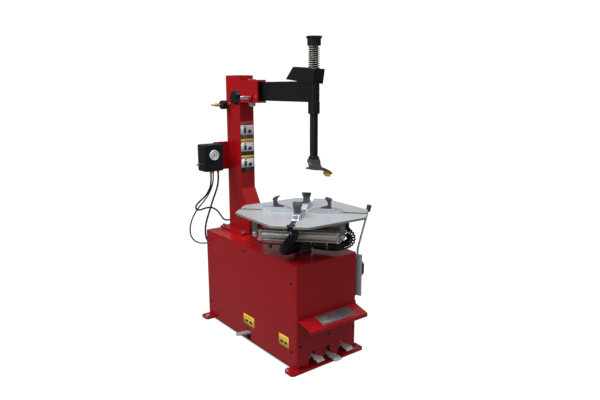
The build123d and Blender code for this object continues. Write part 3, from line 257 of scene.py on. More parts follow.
steel = surface("ground_steel", (0.50, 0.50, 0.51), (0.33, 0.33, 0.34), rough=0.26, metal=1.0,
                grain=800, bump=0.03, streak=(1, 0.06, 1), streak_scale=400, streak_bump=0.6,
                scratches=0.3, scratch_colour=(0.7, 0.7, 0.7))
pedal_steel = surface("pedal_steel", (0.52, 0.52, 0.52), (0.38, 0.38, 0.38), rough=0.42,
                      metal=0.45, grain=500, bump=0.05, patch=30, scratches=0.35)
chrome = surface("hard_chrome", (0.66, 0.67, 0.69), (0.55, 0.56, 0.58), rough=0.13, metal=1.0,
                 grain=700, bump=0.015, streak=(1, 1, 0.05), streak_scale=500, rough_swing=0.04)
jaw = surface("jaw_casting", (0.075, 0.075, 0.08), (0.16, 0.16, 0.165), rough=0.42, metal=0.8,
              grain=420, bump=0.2, patch=40, scratches=0.5)
alloy = surface("anodised_tube", (0.50, 0.48, 0.44), (0.43, 0.41, 0.37), rough=0.34, metal=0.7,
                grain=900, bump=0.03, streak=(1, 1, 8), streak_scale=60, rough_swing=0.06)
# darker olive steel: painted shade for the slides' parts under the table
painted_shade_steel = surface("painted_shade_steel", (0.20, 0.205, 0.175), (0.13, 0.135, 0.12), rough=0.45,
                     metal=0.6, grain=500, bump=0.12, patch=30, scratches=0.15)
dark_bolt = surface("dark_bolt", (0.05, 0.048, 0.045), (0.10, 0.08, 0.06), rough=0.5, metal=0.7,
                    grain=900, bump=0.12, patch=60)
grip = surface("hand_grip", (0.015, 0.015, 0.015), (0.026, 0.026, 0.026), rough=0.5, grain=1300,
               bump=0.2, patch=50)
edge_paint = surface("edge_enamel", (0.23, 0.23, 0.20), (0.18, 0.18, 0.16), rough=0.4, grain=300,
                     bump=0.05, coat=0.15, scratches=0.1)
head_steel = surface("head_steel", (0.30, 0.29, 0.28), (0.16, 0.155, 0.15), rough=0.3, metal=0.9,
                     grain=500, bump=0.08, patch=40, scratches=0.25)
spring_wire = surface("spring_wire", (0.26, 0.235, 0.21), (0.15, 0.13, 0.115), rough=0.33,
                      metal=0.9, grain=900, bump=0.05, patch=60)
iron = surface("dark_casting", (0.06, 0.06, 0.065), (0.10, 0.10, 0.105), rough=0.55, metal=0.4,
               grain=300, bump=0.3, patch=25)
brass = surface("brass", (0.62, 0.45, 0.16), (0.45, 0.31, 0.10), rough=0.28, metal=1.0,
                grain=900, bump=0.04, patch=50)
insert = surface("insert_plastic", (0.75, 0.47, 0.04), (0.62, 0.36, 0.03), rough=0.45,
                 grain=900, bump=0.08, patch=60)
knob_plastic = surface("knob_plastic", (0.007, 0.007, 0.008), (0.012, 0.012, 0.012), rough=0.42,
                       grain=1600, bump=0.06, specular=SOFT_SHINE)
box_plastic = surface("box_plastic", (0.006, 0.006, 0.007), (0.010, 0.010, 0.011), rough=0.46,
                      grain=2200, bump=0.12, specular=SOFT_SHINE)
dial_face = surface("dial_face", (0.82, 0.83, 0.82), (0.76, 0.77, 0.76), rough=0.35, grain=900,
                    bump=0.01, mottle=0.25)
needle_paint = surface("needle_paint", (0.02, 0.02, 0.02), (0.05, 0.05, 0.05), rough=0.4)
hose_plastic = surface("hose_plastic", (0.006, 0.006, 0.007), (0.012, 0.012, 0.013), rough=0.40,
                       grain=1200, bump=0.04, patch=30, specular=SOFT_SHINE)
rubber = surface("moulded_rubber", (0.017, 0.017, 0.017), (0.035, 0.034, 0.033), rough=0.72,
                 grain=700, bump=0.25, patch=30, dust=0.4)
motor_paint = surface("motor_alloy", (0.22, 0.24, 0.27), (0.17, 0.19, 0.21), rough=0.4, metal=0.6,
                      grain=500, bump=0.1)

# painted shade on the slides below the table, grey rim below its top, dark bolts on the right wall,
# grip on the handle
slide_zinc_painted_shade = masked("slide_zinc_painted_shade", zinc, painted_shade_steel,
                      lambda tree, x, y, z: ramp(tree, z, 0.8370, 0.8375, 1.0, 0.0))
table_finish = masked("table_finish", table_paint, edge_paint,
                      lambda tree, x, y, z: ramp(tree, z, 0.8484, 0.8488, 1.0, 0.0))
bolt_finish = masked("bolt_finish", bolt_zinc, dark_bolt,
                     lambda tree, x, y, z: ramp(tree, x, 0.200, 0.201))
handle_finish = masked("handle_finish", bolt_zinc, grip,
                       lambda tree, x, y, z: ramp(tree, z, 0.8185, 0.8190))

look = {
    "base_frame": red, "cabinet_body": red, "left_side_panel": red, "front_cover": red,
    "pedal_hood": red, "column": red, "arm_bracket": red, "gauge_bracket": red,
    "panel_screws": black, "frame_bolts": bolt_finish, "pivot_pin": bolt_zinc,
    "stop_screw": bolt_zinc, "star_knob": knob_plastic, "arm_beam": black, "lock_plate": black,
    "hex_bar": black, "bar_cap": black, "mount_head": head_steel,
    "head_insert": insert, "table_plate": table_finish, "spindle": steel, "rotary_coupling": iron,
    "clamp_cylinder_front": alloy, "clamp_cylinder_rear": alloy, "gauge_box": box_plastic,
    "gauge_dial": dial_face, "gauge_needle": needle_paint, "brass_fittings": brass,
    "valve_knob": knob_plastic, "pedal_axle": pedal_steel, "pedal_turn": pedal_steel,
    "pedal_breaker": pedal_steel, "pedal_clamp": pedal_steel, "pedal_inflate": pedal_steel,
    "gearbox": iron, "gearbox_pulley": iron, "motor": motor_paint, "motor_pulley": iron,
    "drive_belt": rubber, "bead_pads": rubber, "bead_hinge": black, "bead_arm": black,
    "bead_blade": blade_paint, "bead_handle": handle_finish, "bead_rod": chrome,
    "bead_cylinder": alloy,
}
for side in ("right", "back", "left", "front"):
    look["slide_" + side] = slide_zinc_painted_shade
    look["jaw_" + side] = jaw
for node, material in look.items():
    if not nodes[node].material_slots:
        nodes[node].data.materials.append(material)
    for slot in nodes[node].material_slots:
        slot.material = material


# ------------------------------------------------------------------ hoses
def route_spline(name, points, resolution):
    """Curve of one smooth spline whose control points are the route's points."""
    data = bpy.data.curves.new(name, "CURVE")
    data.dimensions = "3D"
    data.resolution_u = resolution
    spline = data.splines.new("NURBS")
    spline.points.add(len(points) - 1)
    for slot, point in zip(spline.points, points):
        slot.co = (*point, 1.0)
    spline.order_u = 3
    spline.use_endpoint_u = True
    return data


def route_curve(name, points, radius, material, body, node=None):
    """Hose along a route, which rides on a body and may replace a CAD node."""
    data = route_spline(name, points, 10)
    data.bevel_depth = radius
    data.bevel_resolution = 5
    data.materials.append(material)
    hose = bpy.data.objects.new(name, data)
    bpy.context.scene.collection.objects.link(hose)
    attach(hose, body)
    if node:
        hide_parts(node)
    return hose


# radius, length and route
hose_routes = {
    "air_hose_front": (0.0055, 0.598, [
        (-0.225, 0.395, 1.000), (-0.225, 0.395, 0.955), (-0.235, 0.400, 0.908),
        (-0.262, 0.409, 0.864), (-0.297, 0.419, 0.835), (-0.325, 0.429, 0.806),
        (-0.316, 0.440, 0.775), (-0.280, 0.452, 0.767), (-0.236, 0.462, 0.774),
        (-0.190, 0.468, 0.771), (-0.148, 0.474, 0.747), (-0.116, 0.480, 0.706),
        (-0.092, 0.482, 0.668), (-0.056, 0.482, 0.660), (-0.030, 0.482, 0.660)]),
    "air_hose_middle": (0.0060, 0.665, [
        (-0.174, 0.392, 1.000), (-0.174, 0.392, 0.948), (-0.190, 0.398, 0.892),
        (-0.211, 0.406, 0.834), (-0.224, 0.420, 0.778), (-0.229, 0.446, 0.724),
        (-0.227, 0.478, 0.676), (-0.219, 0.508, 0.632), (-0.207, 0.536, 0.592),
        (-0.192, 0.562, 0.556), (-0.176, 0.580, 0.526), (-0.160, 0.586, 0.500),
        (-0.145, 0.575, 0.480), (-0.134, 0.554, 0.471), (-0.133, 0.531, 0.471),
        (-0.133, 0.509, 0.471)]),
    "air_hose_rear": (0.0045, 0.732, [
        (-0.196, 0.418, 1.000), (-0.196, 0.418, 0.955), (-0.213, 0.420, 0.906),
        (-0.238, 0.427, 0.858), (-0.268, 0.440, 0.816), (-0.299, 0.458, 0.775),
        (-0.326, 0.469, 0.728), (-0.342, 0.480, 0.676), (-0.343, 0.490, 0.628),
        (-0.330, 0.502, 0.585), (-0.303, 0.516, 0.551), (-0.270, 0.534, 0.528),
        (-0.237, 0.555, 0.512), (-0.206, 0.570, 0.502), (-0.178, 0.573, 0.499),
        (-0.156, 0.556, 0.499), (-0.150, 0.532, 0.499), (-0.150, 0.509, 0.499)]),
}
for name, (radius, length, route) in hose_routes.items():
    hose = route_curve("pipe_" + name, route, radius, hose_plastic, "cabinet", name)

TABLE_CENTRE = Vector((0.0, -0.2675, 0.0))
SLOT_ANGLE = math.radians(-47.8)


def table_point(outward, across, height):
    """Point given along and to the left of the right-hand slot."""
    x = outward * math.cos(SLOT_ANGLE) - across * math.sin(SLOT_ANGLE)
    y = outward * math.sin(SLOT_ANGLE) + across * math.cos(SLOT_ANGLE)
    return (TABLE_CENTRE.x + x, TABLE_CENTRE.y + y, height)


def sampled(points, name):
    """Points along the smooth spline of a route, as Blender evaluates it."""
    holder = bpy.data.objects.new(name, route_spline(name, points, 24))
    mesh = bpy.data.meshes.new_from_object(holder)
    line = [v.co.copy() for v in mesh.vertices]
    bpy.data.objects.remove(holder)
    bpy.data.meshes.remove(mesh)
    return line


def link(name, mesh, body, material, slot=None):
    """New smooth piece from a mesh, with its material, riding on a body if one is given."""
    mesh.materials.append(material)
    for polygon in mesh.polygons:
        polygon.use_smooth = True
    piece = bpy.data.objects.new(name, mesh)
    bpy.context.scene.collection.objects.link(piece)
    if body:
        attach(piece, body)
    return piece


def ring_faces(rings, sides):
    """Quads that join each ring of points to the next one."""
    faces = []
    for i in range(rings - 1):
        for k in range(sides):
            a, b = i * sides + k, i * sides + (k + 1) % sides
            faces.append((a, b, b + sides, a + sides))
    return faces


def closed_mesh(name, verts, sides):
    """Mesh of rings of points with a flat face at both ends."""
    rings = len(verts) // sides
    faces = ring_faces(rings, sides)
    faces.append(tuple(reversed(range(sides))))
    faces.append(tuple(range((rings - 1) * sides, rings * sides)))
    mesh = bpy.data.meshes.new(name)
    mesh.from_pydata(verts, [], faces)
    return mesh


def tube_mesh(name, line, radius, sides=10):
    """Closed tube of one radius along a dense line, with flat ends."""
    verts = []
    side = (line[1] - line[0]).orthogonal().normalized()
    for i, point in enumerate(line):
        ahead = (line[min(i + 1, len(line) - 1)] - line[max(i - 1, 0)]).normalized()
        side = (side - ahead * side.dot(ahead)).normalized()
        up = ahead.cross(side)
        for k in range(sides):
            angle = 2 * math.pi * k / sides
            verts.append(point + (side * math.cos(angle) + up * math.sin(angle)) * radius)
    return closed_mesh(name, verts, sides)


def helix_line(line, radius, pitch, steps):
    """Line that winds round another one a little unevenly; it starts and ends on the axis."""
    spans = [(b - a).length for a, b in zip(line, line[1:])]
    total = sum(spans)
    side = (line[1] - line[0]).orthogonal().normalized()
    wound, travelled, i, start = [], 0.0, 0, 0.0
    count = int(total / pitch * steps)
    for n in range(count + 1):
        travelled = total * n / count
        while i < len(spans) - 1 and start + spans[i] < travelled:
            start += spans[i]
            i += 1
        ahead = (line[i + 1] - line[i]).normalized()
        point = line[i] + ahead * (travelled - start)
        side = (side - ahead * side.dot(ahead)).normalized()
        up = ahead.cross(side)
        ease = min(1.0, travelled / (1.5 * pitch), (total - travelled) / (1.5 * pitch))
        uneven = 1.0 + 0.03 * math.sin(travelled * 90)
        swing = radius * uneven * max(ease, 0.0)
        angle = 2 * math.pi * travelled / pitch
        wound.append(point + (side * math.cos(angle) + up * math.sin(angle)) * swing)
    return wound


coil_routes = {
    "air_coil_right": [(0.057, -0.012, 0.658), (0.114, -0.030, 0.656), (0.174, -0.046, 0.656),
                       (0.234, -0.056, 0.664), (0.290, -0.060, 0.692), (0.292, -0.062, 0.734),
                       (0.249, -0.062, 0.766), (0.249, -0.062, 0.805)],
    "air_coil_front": [(-0.012, -0.057, 0.658), (-0.038, -0.114, 0.656),
                       (-0.064, -0.170, 0.656), (-0.068, -0.222, 0.680),
                       (-0.038, -0.252, 0.718), (0.0, -0.249, 0.766), (0.0, -0.249, 0.805)],
}
COIL_RADIUS, COIL_HOSE, COIL_PITCH = 0.0222, 0.0046, 0.0118
COIL_STEPS = 22  # points in one turn
for name, route in coil_routes.items():
    line = sampled([table_point(*p) for p in route], name + "_route")
    wound = helix_line(line, COIL_RADIUS, COIL_PITCH, COIL_STEPS)
    coil = link("pipe_" + name, tube_mesh(name, wound, COIL_HOSE), None, hose_plastic, "hose")
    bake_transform(coil)
    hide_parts(name)

# the spring rides on the bar
spring_mesh = nodes["bar_spring"].data.copy()
spring_mesh.materials.clear()
spring = link("spring_coil", spring_mesh, "mount_bar", spring_wire, "zinc")
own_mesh(spring)
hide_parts("bar_spring")


# ------------------------------------------------------------------ labels and small fittings
def plate_mesh(name, outlines, centre, right, up, thick, soft=0.45):
    """Thin plates from 2-D outlines, on a plane through centre, with softened edges."""
    right, up = Vector(right).normalized(), Vector(up).normalized()
    normal = right.cross(up)
    centre = Vector(centre)
    if not isinstance(outlines[0], list):
        outlines = [outlines]
    mesh = bpy.data.meshes.new(name)
    work = bmesh.new()
    rim = []
    for outline in outlines:
        lower = [work.verts.new(centre + right * x + up * y) for x, y in outline]
        upper = [work.verts.new(v.co + normal * thick) for v in lower]
        work.faces.new(lower[::-1])
        work.faces.new(upper)
        for i in range(len(lower)):
            k = (i + 1) % len(lower)
            work.faces.new((lower[i], lower[k], upper[k], upper[i]))
            rim.append(work.edges.get((upper[i], upper[k])))
    bmesh.ops.recalc_face_normals(work, faces=work.faces)
    bmesh.ops.bevel(work, geom=rim, offset=thick * soft, segments=2, affect="EDGES")
    work.to_mesh(mesh)
    work.free()
    return mesh


def lathe_mesh(name, profile, base, axis, steps=36):
    """Solid of revolution from (radius, height) pairs, from base along axis."""
    axis = Vector(axis).normalized()
    side = axis.orthogonal().normalized()
    up = axis.cross(side)
    base = Vector(base)
    verts = []
    for r, h in profile:
        for k in range(steps):
            angle = 2 * math.pi * k / steps
            verts.append(base + axis * h + (side * math.cos(angle) + up * math.sin(angle)) * r)
    mesh = closed_mesh(name, verts, steps)
    mesh.validate()
    return mesh


def sharpen(piece, degrees=35):
    """Smooth shading with sharp edges over an angle."""
    piece.data.set_sharp_from_angle(angle=math.radians(degrees))
    return piece


def rounded(width, height, radius, steps=5, shift=(0, 0)):
    """Outline of a rounded rectangle, anticlockwise."""
    points = []
    for cx, cy, start in ((1, 1, 0), (-1, 1, 90), (-1, -1, 180), (1, -1, 270)):
        for n in range(steps + 1):
            angle = math.radians(start + 90 * n / steps)
            points.append((shift[0] + cx * (width / 2 - radius) + radius * math.cos(angle),
                           shift[1] + cy * (height / 2 - radius) + radius * math.sin(angle)))
    return points


def circle(radius, steps=32, shift=(0, 0)):
    """Outline of a circle."""
    return [(shift[0] + radius * math.cos(2 * math.pi * n / steps),
             shift[1] + radius * math.sin(2 * math.pi * n / steps)) for n in range(steps)]


def vinyl(name, colour, second):
    """Printed label film: slight mottle, fine grain and gloss."""
    return surface(name, colour, second, rough=0.36, grain=1600, bump=0.03, coat=0.25,
                   patch=35, mottle=0.35, dust=0.15)


white_film = vinyl("film_white", (0.66, 0.66, 0.65), (0.58, 0.58, 0.57))
black_film = vinyl("film_black", (0.018, 0.018, 0.018), (0.035, 0.035, 0.035))
orange_film = vinyl("film_orange", (0.72, 0.33, 0.03), (0.62, 0.27, 0.02))
red_film = vinyl("film_red", (0.50, 0.02, 0.02), (0.42, 0.015, 0.015))
yellow_film = vinyl("film_yellow", (0.80, 0.52, 0.02), (0.70, 0.44, 0.02))
grey_film = vinyl("film_grey", (0.12, 0.125, 0.13), (0.055, 0.056, 0.06))
thin_yellow = vinyl("film_mark", (0.55, 0.45, 0.05), (0.45, 0.36, 0.04))

# column's label strip: bands with a standing figure and a box, no lettering
FILM = 0.0005
COLUMN_FACE = 0.302
COLUMN_X = -0.004
STRIP_TOP, STRIP_LOW, STRIP_WIDTH = 1.340, 1.010, 0.100
ALONG_X, ALONG_Z = (1, 0, 0), (0, 0, 1)
link("label_strip", plate_mesh(
    "label_strip", rounded(STRIP_WIDTH, STRIP_TOP - STRIP_LOW, 0.002),
    (COLUMN_X, COLUMN_FACE, (STRIP_TOP + STRIP_LOW) / 2), ALONG_X, ALONG_Z, FILM),
    "cabinet", black_film)
# top, lower edge and film of each band
bands = [(1.337, 1.317, red_film), (1.314, 1.253, white_film), (1.226, 1.207, orange_film),
         (1.204, 1.146, white_film), (1.119, 1.101, orange_film), (1.098, 1.042, white_film)]
for count, (top, low, film) in enumerate(bands):
    link(f"label_band_{count}", plate_mesh(
        f"label_band_{count}", rounded(STRIP_WIDTH - 0.006, top - low, 0.0015),
        (COLUMN_X, COLUMN_FACE - FILM, (top + low) / 2), ALONG_X, ALONG_Z, FILM),
        "cabinet", film)
    if film is white_film:
        middle = (top + low) / 2
        for part, outline in enumerate((rounded(0.020, 0.036, 0.006, shift=(-0.016, -0.004)),
                                        rounded(0.028, 0.022, 0.003, shift=(0.019, -0.011)),
                                        circle(0.0055, 20, shift=(-0.016, 0.021)))):
            link(f"label_mark_{count}_{part}", plate_mesh(
                f"label_mark_{count}_{part}", outline,
                (COLUMN_X, COLUMN_FACE - 2 * FILM, middle), ALONG_X, ALONG_Z, FILM / 2),
                "cabinet", black_film)


# panel with the pedals' marks on the hood's slope
HOOD_UP = (0, 0.0990, 0.0290)
hood_centre = Vector((0.0235, -0.5435, 0.2929))
hood_normal = Vector(ALONG_X).cross(Vector(HOOD_UP)).normalized()
link("hood_panel", plate_mesh("hood_panel", rounded(0.247, 0.080, 0.002), hood_centre,
     ALONG_X, HOOD_UP, FILM), "cabinet", grey_film)


def arc_band(radius, width, start, end, steps=10, shift=(0, 0)):
    """Outline of a band along an arc, in degrees."""
    angles = [math.radians(start + (end - start) * n / steps) for n in range(steps + 1)]
    outer = [(shift[0] + (radius + width / 2) * math.cos(a),
              shift[1] + (radius + width / 2) * math.sin(a)) for a in angles]
    inner = [(shift[0] + (radius - width / 2) * math.cos(a),
              shift[1] + (radius - width / 2) * math.sin(a)) for a in reversed(angles)]
    return outer + inner


def dash(x, y, length, degrees, width=0.0016):
    """Outline of a short line with square ends."""
    along = (math.cos(math.radians(degrees)), math.sin(math.radians(degrees)))
    across = (-along[1] * width / 2, along[0] * width / 2)
    ends = [(x - along[0] * length / 2, y - along[1] * length / 2),
            (x + along[0] * length / 2, y + along[1] * length / 2)]
    return [(ends[0][0] - across[0], ends[0][1] - across[1]),
            (ends[1][0] - across[0], ends[1][1] - across[1]),
            (ends[1][0] + across[0], ends[1][1] + across[1]),
            (ends[0][0] + across[0], ends[0][1] + across[1])]


RING = (-0.078, 0.0)
hood_marks = [arc_band(0.024, 0.0016, a, a + 62, shift=RING) for a in (10, 100, 190, 280)]
hood_marks += [arc_band(0.010, 0.0014, a, a + 150, shift=RING) for a in (15, 195)]
hood_marks += [dash(x, y, 0.015, d) for x, y, d in ((-0.012, 0.016, 125), (0.012, 0.016, 55),
                                                    (-0.012, -0.016, 55), (0.012, -0.016, 125))]
hood_marks += [dash(0.100, 0.004, 0.014, 75), dash(0.100, -0.016, 0.010, 0)]
link("hood_marks", plate_mesh("hood_marks", hood_marks, hood_centre + hood_normal * FILM,
     ALONG_X, HOOD_UP, FILM / 2), "cabinet", thin_yellow)

# two plain yellow patches on the left side, each with a few plain bars
LEFT = -0.218
for name, y, z, width, height in (("side_patch", -0.010, 0.1415, 0.120, 0.063),
                                  ("corner_patch", -0.375, 0.1485, 0.094, 0.066)):
    link(name, plate_mesh(name, rounded(width, height, 0.005), (LEFT, y, z), (0, -1, 0), ALONG_Z,
         FILM), "cabinet", yellow_film)
    bars = [rounded(width * 0.62, 0.003, 0.001, shift=(0, height * 0.24)),
            rounded(width * 0.30, height * 0.26, 0.003, shift=(-width * 0.2, -height * 0.14)),
            rounded(width * 0.30, height * 0.26, 0.003, shift=(width * 0.2, -height * 0.14))]
    link(name + "_bars", plate_mesh(name + "_bars", bars, (LEFT - FILM, y, z), (0, -1, 0),
         ALONG_Z, FILM / 2), "cabinet", black_film)

# gauge: ticks, numbers and lens
GAUGE = Vector((-0.221, 0.352, 1.132))
SCALE_START, SCALE_SWEEP, TICKS, NUMBERS = 225, 270, 40, 8
ticks = []
for n in range(TICKS + 1):
    degrees = SCALE_START - SCALE_SWEEP * n / TICKS
    long = n % 5 == 0
    middle = 0.0222 if long else 0.0233
    ticks.append(dash(middle * math.cos(math.radians(degrees)),
                      middle * math.sin(math.radians(degrees)),
                      0.0050 if long else 0.0027, degrees, 0.0008 if long else 0.0004))
ticks.append(arc_band(0.0250, 0.0005, SCALE_START - SCALE_SWEEP, SCALE_START, 60))
link("gauge_scale", plate_mesh("gauge_scale", ticks, GAUGE, ALONG_X, ALONG_Z, 0.0002),
     "cabinet", black_film, "needle_black")
for n in range(0, NUMBERS + 1, 2):
    degrees = SCALE_START - SCALE_SWEEP * n / NUMBERS
    text = bpy.data.curves.new(f"gauge_number_{n}", "FONT")
    text.body = str(n * 2)
    text.size = 0.0068
    text.align_x, text.align_y = "CENTER", "CENTER"
    text.extrude = 0.0001
    text.materials.append(black_film)
    number = bpy.data.objects.new(f"gauge_number_{n}", text)
    number.location = GAUGE + Vector((0.0158 * math.cos(math.radians(degrees)), -0.0002,
                                      0.0158 * math.sin(math.radians(degrees))))
    number.rotation_euler = (math.radians(90), 0, 0)
    bpy.context.scene.collection.objects.link(number)
    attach(number, "cabinet")
lens_glass = bpy.data.materials.new("lens_glass")
lens_glass.use_nodes = True
lens_shader = lens_glass.node_tree.nodes["Principled BSDF"]
lens_shader.inputs["Transmission Weight"].default_value = 1.0
lens_shader.inputs["IOR"].default_value = 1.2
lens_tree = lens_glass.node_tree
lens_rough = ramp(lens_tree, noise(lens_tree, 120.0, 5.0), 0.3, 0.8, 0.0, 0.05)
lens_tree.links.new(lens_rough, lens_shader.inputs["Roughness"])
sharpen(link("gauge_lens", lathe_mesh("gauge_lens", [
    (0.0001, -0.0009), (0.010, -0.0008), (0.019, -0.0004), (0.0268, 0.0004), (0.0268, 0.0012),
    (0.0001, 0.0010)], (GAUGE.x, 0.3462, GAUGE.z), (0, 1, 0), 48), "cabinet", lens_glass))

# blue push-in fitting on the side of the gauge box
blue = surface("blue_ring", (0.10, 0.32, 0.62), (0.08, 0.26, 0.52), rough=0.4, grain=900, patch=60)
sharpen(link("side_fitting", lathe_mesh("side_fitting", [
    (0.0005, 0.0), (0.0085, 0.0), (0.0085, 0.003), (0.0075, 0.004), (0.0075, 0.010),
    (0.0045, 0.0115), (0.0045, 0.008), (0.0005, 0.008)], (-0.303, 0.410, 1.072), (-1, 0, 0)),
    "cabinet", blue, "brass"))

# two stop screws with rubber feet under the front cylinder
CYLINDER_ACROSS, PIVOT_ALONG, PIVOT_Z = 0.125, 0.248, 0.738
for n, along in enumerate((-0.163, 0.160)):
    x, y, _ = table_point(along, -CYLINDER_ACROSS, 0)
    sharpen(link(f"foot_screw_{n}", lathe_mesh(f"foot_screw_{n}", [
        (0.0005, 0.0), (0.0035, 0.0), (0.0035, 0.026), (0.0065, 0.026), (0.0065, 0.031),
        (0.0030, 0.031), (0.0005, 0.031)], (x, y, 0.7055), (0, 0, -1)), "slide_right",
        bolt_zinc, "zinc"))
    sharpen(link(f"foot_rubber_{n}", lathe_mesh(f"foot_rubber_{n}", [
        (0.0005, 0.0), (0.0085, 0.0), (0.0105, 0.002), (0.0115, 0.007), (0.0105, 0.013),
        (0.0080, 0.016), (0.0005, 0.0165)], (x, y, 0.6745), (0, 0, -1)), "slide_right",
        rubber, "rubber"))

# round heads over the pivot bolts of both cylinders
HEAD_ACROSS = 0.1405
for n, (end, across, body) in enumerate(((1, -1, "slide_right"), (-1, -1, "slide_left"),
                                         (1, 1, "slide_right"), (-1, 1, "slide_left"))):
    base = table_point(end * PIVOT_ALONG, across * HEAD_ACROSS, PIVOT_Z)
    face = Vector(table_point(0, across, 0)) - TABLE_CENTRE
    sharpen(link(f"pivot_head_{n}", lathe_mesh(f"pivot_head_{n}", [
        (0.0005, 0.0), (0.0130, 0.0), (0.0130, 0.0030), (0.0115, 0.0035), (0.0115, 0.0092),
        (0.0102, 0.0103), (0.0045, 0.0104), (0.0045, 0.0090), (0.0005, 0.0090)],
        base, face), body, bolt_zinc, "zinc"))

# hose under the front cylinder, from its left end to its right end
under = [table_point(*p) for p in (
    (-0.212, -0.090, 0.764), (-0.240, -0.086, 0.771), (-0.274, -0.085, 0.766),
    (-0.292, -0.086, 0.744), (-0.290, -0.090, 0.720), (-0.276, -0.106, 0.704),
    (-0.250, -0.132, 0.698), (-0.216, -0.154, 0.694), (-0.170, -0.164, 0.692),
    (-0.110, -0.166, 0.692), (-0.020, -0.168, 0.693), (0.080, -0.168, 0.692),
    (0.170, -0.166, 0.692), (0.226, -0.158, 0.692), (0.252, -0.136, 0.696),
    (0.254, -0.110, 0.706), (0.238, -0.092, 0.712))]
UNDER_RADIUS = 0.0042
under_hose = route_curve("pipe_cylinder_hose", under, UNDER_RADIUS, hose_plastic, "slide_right")

# clip with a blue push-in fitting over the table's corner that faces the pedals
face = Vector(table_point(0, -1, 0)) - TABLE_CENTRE
across_face = face.cross(Vector((0, 0, 1)))
link("corner_clip", plate_mesh("corner_clip", rounded(0.046, 0.040, 0.003),
     table_point(0.0, -0.3490, 0.8490), across_face, -face, 0.004, 0.3), "turntable", black)
link("corner_bracket", plate_mesh("corner_bracket", rounded(0.044, 0.018, 0.003),
     table_point(0.0, -0.3530, 0.8275), across_face, (0, 0, 1), 0.010, 0.15), "turntable", black)
sharpen(link("corner_fitting", lathe_mesh("corner_fitting", [
    (0.0005, 0.0), (0.0042, 0.0), (0.0042, 0.008), (0.0034, 0.009), (0.0034, 0.014),
    (0.0028, 0.015), (0.0005, 0.015)], table_point(0.0, -0.3580, 0.8190), (0, 0, -1)),
    "turntable", blue, "brass"))

# ------------------------------------------------------------------ stage, lights and camera
FLOOR_RADIUS, WALL_CURVE, WALL_TOP = 9.0, 3.0, 12.0
STAGE_STEPS = 72
GLOW = 1.02


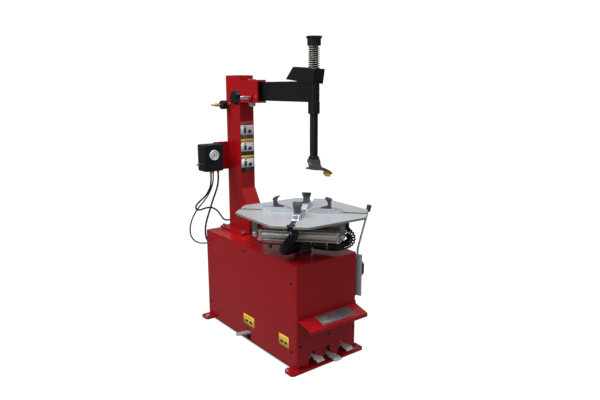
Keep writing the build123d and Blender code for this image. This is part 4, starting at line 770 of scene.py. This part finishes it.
def stage():
    """White round floor that curves up into a wall on all sides and lights nothing."""
    profile = [(0.4, 0.0), (FLOOR_RADIUS, 0.0)]
    for degrees in range(10, 91, 10):
        a = math.radians(degrees)
        profile.append((FLOOR_RADIUS + WALL_CURVE * math.sin(a), WALL_CURVE * (1 - math.cos(a))))
    profile.append((FLOOR_RADIUS + WALL_CURVE, WALL_TOP))
    turns = [2 * math.pi * k / STAGE_STEPS for k in range(STAGE_STEPS)]
    verts = [(r * math.cos(a), r * math.sin(a), z) for r, z in profile for a in turns]
    mesh = bpy.data.meshes.new("backdrop")
    mesh.from_pydata(verts, [], [tuple(range(STAGE_STEPS))] + ring_faces(len(profile), STAGE_STEPS))
    for polygon in mesh.polygons:
        polygon.use_smooth = True
    material = surface("paper_backdrop", (0.030, 0.030, 0.030), (0.026, 0.026, 0.027), rough=0.85,
                       grain=200, mottle=0.3)
    tree = material.node_tree
    glow = tree.nodes["Principled BSDF"].inputs
    glow["Emission Color"].default_value = (1.0, 1.0, 1.0, 1.0)
    # the floor doesn't glow under the machine: a painted shadow under the cabinet
    place = add(tree, "ShaderNodeNewGeometry")
    spot = add(tree, "ShaderNodeSeparateXYZ")
    tree.links.new(place.outputs["Position"], spot.inputs[0])
    across, along = [maths(tree, "ABSOLUTE", spot.outputs[n]) for n in (0, 1)]
    clear = maths(tree, "MAXIMUM", ramp(tree, across, 0.205, 0.22), ramp(tree, along, 0.485, 0.50))
    tree.links.new(maths(tree, "MULTIPLY", clear, GLOW), glow["Emission Strength"])
    mesh.materials.append(material)
    floor = bpy.data.objects.new("backdrop", mesh)
    floor.visible_diffuse = False
    floor.visible_glossy = False
    floor.visible_shadow = False
    bpy.context.scene.collection.objects.link(floor)
    floor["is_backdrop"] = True


def lamp(name, place, target, size, power):
    """Soft area light aimed at a point."""
    data = bpy.data.lights.new(name, "AREA")
    data.shape = "RECTANGLE"
    data.size, data.size_y = size
    data.energy = power
    lamp_object = bpy.data.objects.new(name, data)
    lamp_object.location = place
    aim = Vector(target) - Vector(place)
    lamp_object.rotation_euler = aim.to_track_quat("-Z", "Y").to_euler()
    bpy.context.scene.collection.objects.link(lamp_object)


stage()
lamp("key", (-2.6, 0.6, 4.2), (0, 0, 0.8), (2.4, 2.4), 150)
lamp("fill", (-0.6, -4.4, 2.2), (0, 0, 0.8), (2.4, 1.6), 12)
lamp("top", (0.2, -0.6, 4.4), (0, -0.1, 0.6), (2.6, 2.6), 110)
lamp("side", (-4.2, -1.8, 1.6), (0, 0, 0.7), (1.8, 1.8), 20)

world = bpy.data.worlds.new("studio")
world.use_nodes = True
sky = world.node_tree
direction = add(sky, "ShaderNodeSeparateXYZ")
sky.links.new(add(sky, "ShaderNodeTexCoord").outputs["Generated"], direction.inputs[0])
above = ramp(sky, direction.outputs["Z"], 0.0, 0.8, 0.09, 0.70)
below = ramp(sky, direction.outputs["Z"], -0.7, 0.0, 0.34, 0.0)
sky.nodes["Background"].inputs["Color"].default_value = (0.93, 0.95, 1.0, 1)
sky.links.new(maths(sky, "ADD", above, below), sky.nodes["Background"].inputs["Strength"])
bpy.context.scene.world = world
bpy.context.scene.view_settings.view_transform = "Standard"

CAMERA_PLACE = Vector((-1.905, -2.697, 1.5525))
YAW, PITCH, ROLL = math.radians(37.86), math.radians(11.68), -0.0021
camera_data = bpy.data.cameras.new("camera")
camera_data.lens = 32.81
camera_data.sensor_width = 36.0
camera = bpy.data.objects.new("camera", camera_data)
forward = Vector((math.sin(YAW) * math.cos(PITCH), math.cos(YAW) * math.cos(PITCH),
                  -math.sin(PITCH)))
turn = forward.to_track_quat("-Z", "Y").to_matrix() @ Matrix.Rotation(ROLL, 3, "Z")
camera.matrix_world = Matrix.Translation(CAMERA_PLACE) @ turn.to_4x4()
bpy.context.scene.collection.objects.link(camera)
bpy.context.scene.camera = camera

low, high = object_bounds()
